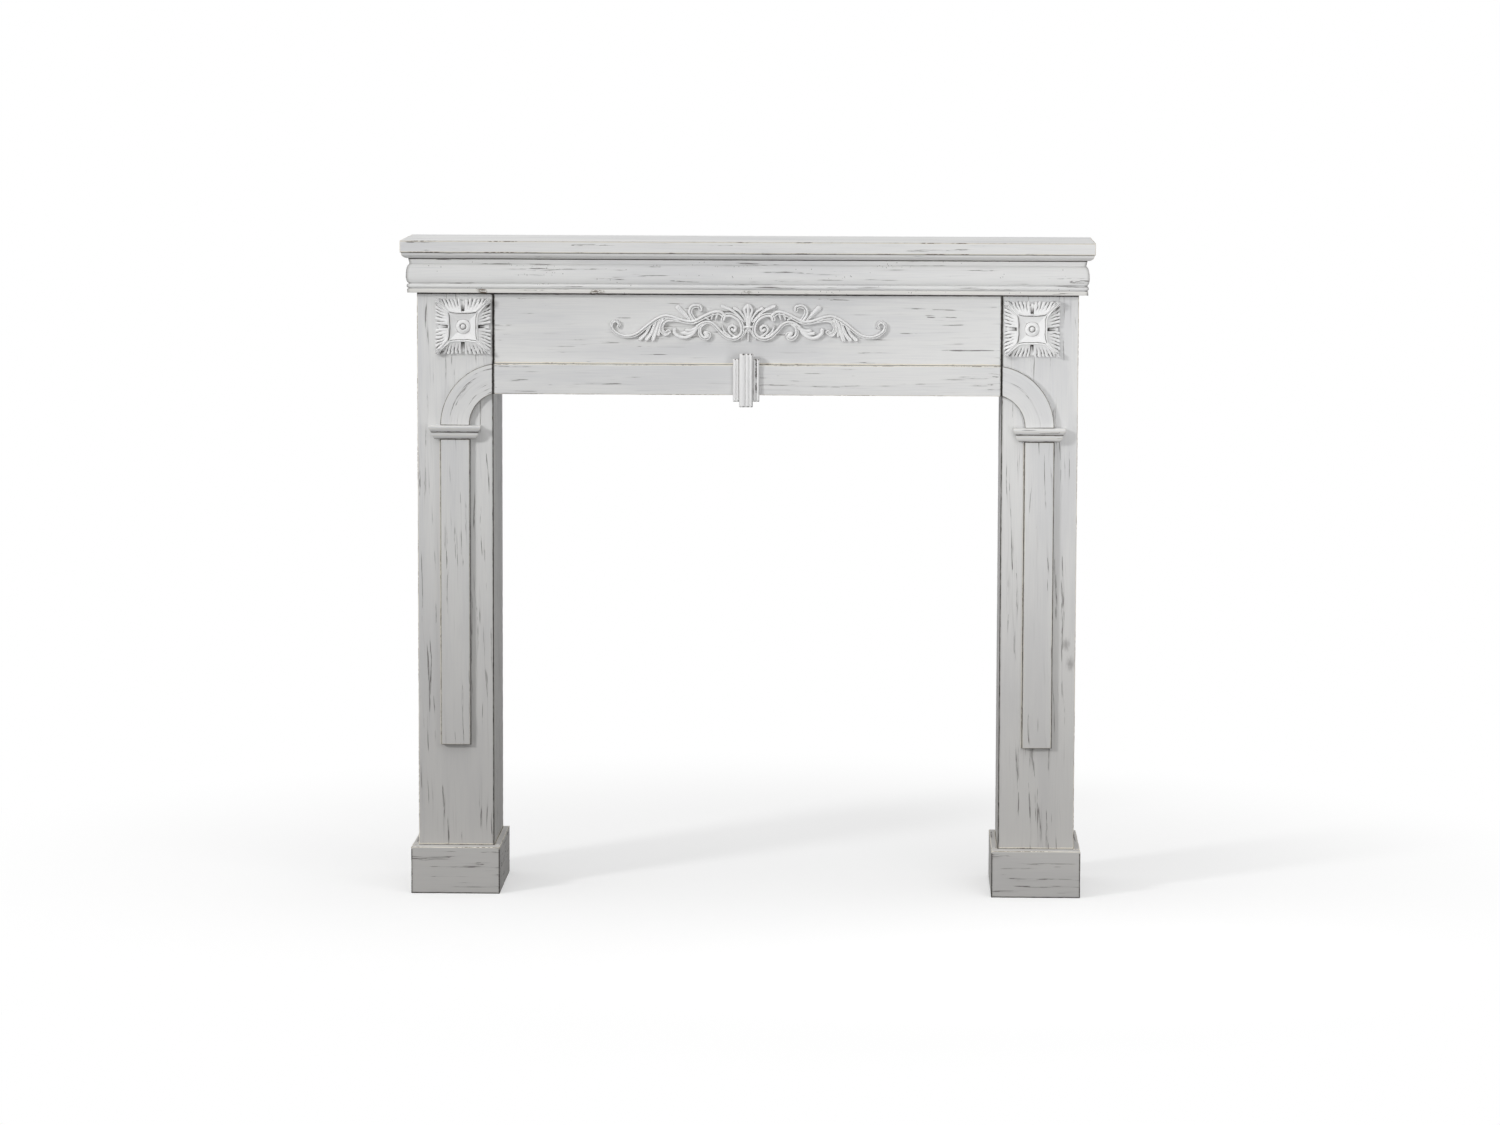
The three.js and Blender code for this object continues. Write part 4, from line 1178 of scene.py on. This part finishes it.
# Ribs of one half: route in millimetres out from the axis and up from the middle, widths and
# heights at the start and end, and the shape of the rib's section.
SCROLL_RIBS = [
    # the long stem, from its end volute over the crest to the leaf beside the big scroll
    ([(220, -8), (218, -3.5), (223, 1.5), (229.5, -1.5), (230.5, -9.5), (223.5, -18.5), (207, -24.5),
      (190, -21.3), (165.7, -3.2), (153, 5.3), (141, 9.8), (130, 8.8), (105, 1), (93, 0.5), (71, 10.9),
      (59, 16), (48, 16.5), (42, 12)], (5.5, 9), (6, 8), "strand"),
    # the big scroll, from the joint under the stem round to its curled end
    ([(86, -8), (80.4, -3), (70, 0), (60.2, -2.4), (46, -17), (37.9, -24), (28.8, -27.4), (19.7, -26.4),
      (11.8, -20), (10, -11), (13, 0), (20, 8), (31, 12.7), (39.5, 11.2), (42.5, 5)], (6.5, 8.5), (6.5, 8),
     "strand"),
    # the small volute inside the big scroll, and the spur leaf beside it
    ([(16, -26), (24, -22.5), (31.5, -16), (32.5, -9), (27, -5), (21.5, -8.5), (23, -14), (27.5, -12)],
      (4, 6), (5, 8), "round"),
    ([(44, -4.5), (42, -12), (38.4, -18), (32, -23.5)], (2, 6), (5, 6.5), "leaf"),
    # the lower curl under the joint
    ([(74, -2.5), (80, -7), (82, -14), (80.5, -21.5), (74, -27), (68, -25.5), (66.5, -20.5), (71.5, -18.5)],
     (6, 9), (6, 8), "strand"),
    ([(71.5, -18.5), (69, -23)], (9, 9), (8, 8), "round"),
    # the leafy swag that runs out from the joint, with two lobes
    ([(86, -6), (90, -15), (97, -22), (107, -25.8), (117, -24), (124, -18), (124.5, -12.5)],
     (6, 7), (6, 6.5), "round"),
    ([(88, -9), (95, -13), (104, -13.5)], (5, 6.5), (6, 6.5), "round"),
    ([(93, -16), (101, -19), (110, -18)], (6, 7), (6, 6.5), "round"),
    # the hook above the stem, and the small leaf beside it
    ([(90, 3), (96.5, 12), (98, 19.5), (94.6, 26), (87.5, 28), (81, 25.5), (80.5, 21.5)], (8, 8), (6.5, 8),
     "strand"),
    ([(98, 3.5), (106, 12), (114, 20), (119, 25)], (6, 9), (5.5, 5), "beads"),
    # the broad leaf that turns down under the crest and curls in
    ([(104, -1), (118.5, 2.5), (130, 4), (140.5, 2), (145.8, -6), (145.5, -14.5), (140, -19.5),
      (134.5, -16)], (5, 9), (6, 7), "trough"),
    # four hanging leaves
    ([(166, -7), (173, -19.5), (182, -28.5)], (4.5, 7), (6, 5.5), "leaf"),
    ([(157, -1), (163.5, -18), (171.5, -29)], (5, 7.5), (6, 5.5), "leaf"),
    ([(150, 3), (156, -15), (160.5, -29)], (5, 7.5), (6, 5.5), "leaf"),
    ([(145, 6), (150, -8), (151.5, -21)], (5, 6), (6, 5), "leaf"),
    # two feathers that fan out from the palmette
    ([(7, 1), (16.5, 11.5), (28, 20.5), (43.5, 27.5)], (3, 6.5), (6, 5.5), "leaf"),
    ([(4.5, 2), (9.5, 12), (15.7, 19.5), (23.3, 24)], (3, 6), (6, 5.5), "leaf"),
    # three lobes under the stem's leaf
    ([(72, 8), (66, 4.5)], (6, 3), (6, 5), "round"),
    ([(60, 14), (62.5, 5.5)], (6, 3), (6, 5), "round"),
    ([(52, 15), (55, 5)], (6, 3), (6, 5), "round"),
    # half of the palmette: a side petal and a leaf of the tuft below it
    ([(1.5, -4), (3.5, 10), (6.5, 22), (2, 28.5)], (5, 6), (6, 8), "round"),
    ([(1.5, -9), (7, -20), (13, -28.5)], (5, 2.5), (6, 5), "leaf"),
    # on the axis: the middle petal, the collar and the middle of the tuft
    ([(0, -6), (0, 10), (0, 30)], (4, 7.5), (6, 9), "round"),
    ([(-5.5, -7.5), (5.5, -7.5)], (4.6, 4.6), (8, 8), "round"),
    ([(0, -9), (0, -31)], (5, 3), (6, 5), "leaf"),
]


ROUTE_SPACING = 0.5


def smooth_route(route, spacing):
    """Points a spacing apart on a smooth curve through the route's points, and how far along
    each lies from 0 to 1."""
    stops = np.array(route, float)
    padded = np.vstack([2 * stops[0] - stops[1], stops, 2 * stops[-1] - stops[-2]])
    points = []
    for i in range(1, len(padded) - 2):
        p0, p1, p2, p3 = padded[i - 1 : i + 3]
        t0 = 0.0
        t1 = t0 + np.linalg.norm(p1 - p0) ** 0.5
        t2 = t1 + np.linalg.norm(p2 - p1) ** 0.5
        t3 = t2 + np.linalg.norm(p3 - p2) ** 0.5
        for t in np.linspace(t1, t2, 24, endpoint=False):
            a1 = (t1 - t) / (t1 - t0) * p0 + (t - t0) / (t1 - t0) * p1
            a2 = (t2 - t) / (t2 - t1) * p1 + (t - t1) / (t2 - t1) * p2
            a3 = (t3 - t) / (t3 - t2) * p2 + (t - t2) / (t3 - t2) * p3
            b1 = (t2 - t) / (t2 - t0) * a1 + (t - t0) / (t2 - t0) * a2
            b2 = (t3 - t) / (t3 - t1) * a2 + (t - t1) / (t3 - t1) * a3
            points.append((t2 - t) / (t2 - t1) * b1 + (t - t1) / (t2 - t1) * b2)
    points.append(stops[-1])
    points = np.array(points)
    run = np.concatenate([[0], np.cumsum(np.linalg.norm(np.diff(points, axis=0), axis=1))])
    count = max(2, int(run[-1] / spacing) + 1)
    places = np.linspace(0, run[-1], count)
    return np.stack([np.interp(places, run, points[:, a]) for a in (0, 1)], 1), places / run[-1]


def lobe(side, centre, half):
    """A half-round strand between centre - half and centre + half."""
    return np.sqrt(np.clip(1 - ((side - centre) / half) ** 2, 0, 1))


# Sections with two strands on a low dome: centre and half width of each strand, then the height
# of the second strand and of the dome
TWO_STRANDS = {
    "strand": (-0.36, 0.64, 0.64, 0.36, 0.84, 0.3),
    "leaf": (-0.3, 0.7, 0.58, 0.42, 0.8, 0.4),
    "trough": (-0.66, 0.34, 0.66, 0.34, 1.0, 0.5),
}


def rib_section(shape, side, along_mm):
    """Height of a rib from 0 to 1, over its width from side -1 to 1."""
    dome = lobe(side, 0, 1)
    if shape in TWO_STRANDS:
        centre, half, second_centre, second_half, second_height, dome_height = TWO_STRANDS[shape]
        second = second_height * lobe(side, second_centre, second_half)
        return np.maximum.reduce([lobe(side, centre, half), second, dome_height * dome])
    if shape == "beads":
        return dome * (0.55 + 0.45 * np.abs(np.sin(math.pi * along_mm / 2.8)) * np.abs(np.cos(2.4 * side)))
    return dome


class MANTEL_OT_scroll(bpy.types.Operator):
    """Applied carving of scrolls and leaves on the frieze"""

    bl_idname = "mantel.scroll"
    bl_label = "Scroll Ornament"

    def execute(self, context):
        settings = context.scene.mantel_scroll
        node = "scroll_ornament"
        low, high = board_box(node)
        centre_x = settings.shift
        centre_z = (low[2] + high[2]) / 2
        drawn = [np.array(rib[0], float) for rib in SCROLL_RIBS]
        cell = settings.cell / MM
        reach = max(route[:, 0].max() for route in drawn) + 8
        cells_x = np.arange(-round(reach / cell), round(reach / cell) + 1) * cell
        cells_z = np.arange(-36, 36, cell)
        x, z = np.meshgrid(cells_x, cells_z, indexing="ij")
        half_x = cells_x[len(cells_x) // 2 :]
        gx, gz = np.meshgrid(half_x, cells_z, indexing="ij")
        height = np.zeros(gx.shape)
        inside = np.full(gx.shape, -5.0)
        for route, widths, rises, shape in SCROLL_RIBS:
            self.add_rib(gx, gz, height, inside, smooth_route(route, ROUTE_SPACING), widths, rises, shape)
        # the other half is its mirror image
        height, inside = (np.concatenate([field[:0:-1], field]) for field in (height, inside))
        points, faces, used = relief_solid(
            x * MM + centre_x, z * MM + centre_z, inside * MM, height * MM, high[1]
        )
        np.clip(points[:, 0], low[0], high[0], out=points[:, 0])
        np.clip(points[:, 2], low[2], high[2], out=points[:, 2])
        # painted shadow as a dark rim along the carving's outline, and painted shade in its hollows and on
        # its down-right sides
        outline = np.exp(-np.clip(inside, 0, 9) / 0.5)
        hollow = np.maximum(0.5 * relief_shade(height, cell), 0.42 * outline)
        fields = {
            "arris": np.full(len(points), 20 * MM),
            "hollow": np.tile(hollow.ravel()[used], 2),
            "grain": grain_space(points, 0, 190),
        }
        make_piece("painted_" + node, node, "painted_carvings", points, faces, fields, 70)
        return {"FINISHED"}

    def add_rib(self, gx, gz, height, inside, route, widths, rises, shape):
        """Raises the relief where the rib stands over it."""
        points, share_along = route
        margin = max(widths) / 2 + 1.5
        near_x = (gx[:, 0] > points[:, 0].min() - margin) & (gx[:, 0] < points[:, 0].max() + margin)
        near_z = (gz[0] > points[:, 1].min() - margin) & (gz[0] < points[:, 1].max() + margin)
        block = np.ix_(near_x, near_z)
        place = np.stack([gx[block].ravel(), gz[block].ravel()], 1)
        if not len(place):
            return
        gap = np.linalg.norm(place[:, None] - points[None], axis=2)
        nearest = gap.argmin(1)
        distance = gap[np.arange(len(place)), nearest]
        t = share_along[nearest]
        tangent = np.gradient(points, axis=0)[nearest]
        offset = place - points[nearest]
        side = np.sign(tangent[:, 0] * offset[:, 1] - tangent[:, 1] * offset[:, 0])
        half = (widths[0] + (widths[1] - widths[0]) * t) / 2
        rise = rises[0] + (rises[1] - rises[0]) * t
        along_mm = t * len(points) * ROUTE_SPACING
        base = bpy.context.scene.mantel_scroll.base / MM
        level = base + (rise - base) * rib_section(shape, side * distance / half, along_mm)
        level = np.where(distance < half, level, 0)
        level = np.maximum(level, base * (distance < half + 1))
        block_shape = gx[block].shape
        height[block] = np.maximum(height[block], level.reshape(block_shape))
        inside[block] = np.maximum(inside[block], (half - distance).reshape(block_shape))


# Stage

# name, place, what it points at, width in metres, and the setting that holds its power
LIGHTS = (
    ("key_light", (-4.5, -4.0, 3.0), (0, 0, 0.7), 1.0, "key_power"),
    ("left_light", (-0.5, -1.0, 1.45), (-0.4, 0, 1.0), 0.8, "left_power"),
    ("right_light", (0.8, -1.2, 0.85), (0.6, 0, 0.7), 0.8, "right_power"),
)


class MANTEL_OT_stage(bpy.types.Operator):
    """Pale floor, soft light and the camera"""

    bl_idname = "mantel.stage"
    bl_label = "Stage"

    def execute(self, context):
        scene = context.scene
        settings = scene.mantel_stage
        self.make_floor()
        self.make_world(scene, settings)
        for name, place, target, size, power_setting in LIGHTS:
            self.make_light(name, place, target, size, getattr(settings, power_setting))
        self.make_camera(scene, settings)
        scene.view_settings.view_transform = "Standard"
        return {"FINISHED"}

    def make_floor(self):
        size = 60.0
        mesh = bpy.data.meshes.new("floor")
        corners = [(-size, -size, 0), (size, -size, 0), (size, size, 0), (-size, size, 0)]
        mesh.from_pydata(corners, [], [(0, 1, 2, 3)])
        floor = bpy.data.objects.new("floor", mesh)
        bpy.context.scene.collection.objects.link(floor)
        material = bpy.data.materials.new("pale_floor")
        material.use_nodes = True
        nodes = Nodes(material.node_tree)
        material.node_tree.nodes.clear()
        seen = nodes.add("ShaderNodeLightPath").outputs["Is Camera Ray"]
        place = nodes.add("ShaderNodeTexCoord").outputs["Object"]
        away = nodes.add("ShaderNodeVectorMath", {0: place}, operation="LENGTH").outputs["Value"]
        fade_from, fade_to = 0.72, 1.6
        far = nodes.ramp(away, fade_from, fade_to)
        plain = nodes.add("ShaderNodeBsdfDiffuse", {"Color": (0.40, 0.40, 0.40, 1)}).outputs[0]
        pale = nodes.add("ShaderNodeBsdfDiffuse", {"Color": (0.66, 0.66, 0.66, 1)}).outputs[0]
        glow = nodes.add("ShaderNodeEmission", {"Color": (1, 1, 1, 1), "Strength": 0.33}).outputs[0]
        lit = nodes.add("ShaderNodeAddShader", {0: pale, 1: glow}).outputs[0]
        white = nodes.add("ShaderNodeEmission", {"Color": (1, 1, 1, 1), "Strength": 1.0}).outputs[0]
        lit = nodes.add("ShaderNodeMixShader", {0: far, 1: lit, 2: white}).outputs[0]
        both = nodes.add("ShaderNodeMixShader", {0: seen, 1: plain, 2: lit}).outputs[0]
        nodes.add("ShaderNodeOutputMaterial", {"Surface": both})
        mesh.materials.append(material)

    def make_world(self, scene, settings):
        world = bpy.data.worlds.new("studio")
        world.use_nodes = True
        scene.world = world
        world.node_tree.nodes.clear()
        nodes = Nodes(world.node_tree)
        seen = nodes.add("ShaderNodeLightPath").outputs["Is Camera Ray"]
        direction = nodes.add("ShaderNodeTexCoord").outputs["Generated"]
        height = nodes.add("ShaderNodeSeparateXYZ", {0: direction}).outputs[2]
        overhead = nodes.math("POWER", nodes.math("MAXIMUM", height, 0.0), 3.0)
        sky = nodes.math("MULTIPLY", overhead, settings.sky)
        strength = nodes.add("ShaderNodeMix", {0: seen, 2: sky, 3: 1.0}).outputs[0]
        back = nodes.add("ShaderNodeBackground", {"Color": (1, 1, 1, 1), "Strength": strength}).outputs[0]
        nodes.add("ShaderNodeOutputWorld", {"Surface": back})

    def make_light(self, name, place, target, size, power):
        data = bpy.data.lights.new(name, "AREA")
        data.shape = "DISK"
        data.size = size
        data.energy = power
        light = bpy.data.objects.new(name, data)
        light.location = place
        direction = Vector(target) - Vector(place)
        light.rotation_mode = "QUATERNION"
        light.rotation_quaternion = direction.to_track_quat("-Z", "Y")
        bpy.context.scene.collection.objects.link(light)

    def make_camera(self, scene, settings):
        yaw, pitch, roll = settings.yaw, settings.pitch, settings.roll
        ahead = Vector(
            (-math.sin(yaw) * math.cos(pitch), math.cos(yaw) * math.cos(pitch), -math.sin(pitch))
        )
        right = ahead.cross(Vector((0, 0, 1))).normalized()
        up = right.cross(ahead)
        turned_right = math.cos(roll) * right + math.sin(roll) * up
        turned_up = math.cos(roll) * up - math.sin(roll) * right
        data = bpy.data.cameras.new("camera")
        picture_width = 1500
        data.sensor_width = 36
        data.lens = settings.focal_pixels / picture_width * data.sensor_width
        data.clip_end = 100
        camera = bpy.data.objects.new("camera", data)
        basis = Matrix((turned_right, turned_up, -ahead)).transposed().to_4x4()
        place = Vector((settings.camera_x, settings.camera_y, settings.camera_z))
        camera.matrix_world = Matrix.Translation(place) @ basis
        scene.collection.objects.link(camera)
        scene.camera = camera


# Panel and registration

OPERATORS = (
    MANTEL_OT_stage,
    MANTEL_OT_boards,
    MANTEL_OT_bands,
    MANTEL_OT_shelf,
    MANTEL_OT_caps,
    MANTEL_OT_cornice,
    MANTEL_OT_keystone,
    MANTEL_OT_rosettes,
    MANTEL_OT_scroll,
)


class MANTEL_PT_panel(bpy.types.Panel):
    """Buttons that make the mantelpiece, and its sizes and colours"""

    bl_idname = "MANTEL_PT_panel"
    bl_label = "Mantelpiece"
    bl_space_type = "VIEW_3D"
    bl_region_type = "UI"
    bl_category = "Mantelpiece"

    def draw(self, context):
        for operator in OPERATORS:
            self.layout.operator(operator.bl_idname)
        for name, settings in SETTINGS.items():
            box = self.layout.box()
            for title in settings.__annotations__:
                box.prop(getattr(context.scene, name), title)


SETTINGS = {
    "mantel_paint": PaintSettings,
    "mantel_boards": BoardSettings,
    "mantel_mouldings": MouldingSettings,
    "mantel_keystone": KeystoneSettings,
    "mantel_rosettes": RosetteSettings,
    "mantel_scroll": ScrollSettings,
    "mantel_stage": StageSettings,
}


def register():
    for name, settings in SETTINGS.items():
        bpy.utils.register_class(settings)
        setattr(bpy.types.Scene, name, PointerProperty(type=settings))
    for cls in (*OPERATORS, MANTEL_PT_panel):
        bpy.utils.register_class(cls)


def unregister():
    for cls in (MANTEL_PT_panel, *reversed(OPERATORS)):
        bpy.utils.unregister_class(cls)
    for name, settings in reversed(SETTINGS.items()):
        delattr(bpy.types.Scene, name)
        bpy.utils.unregister_class(settings)


def main():
    register()
    for operator in OPERATORS:
        category, name = operator.bl_idname.split(".")
        getattr(getattr(bpy.ops, category), name)()


if __name__ == "__main__":
    main()
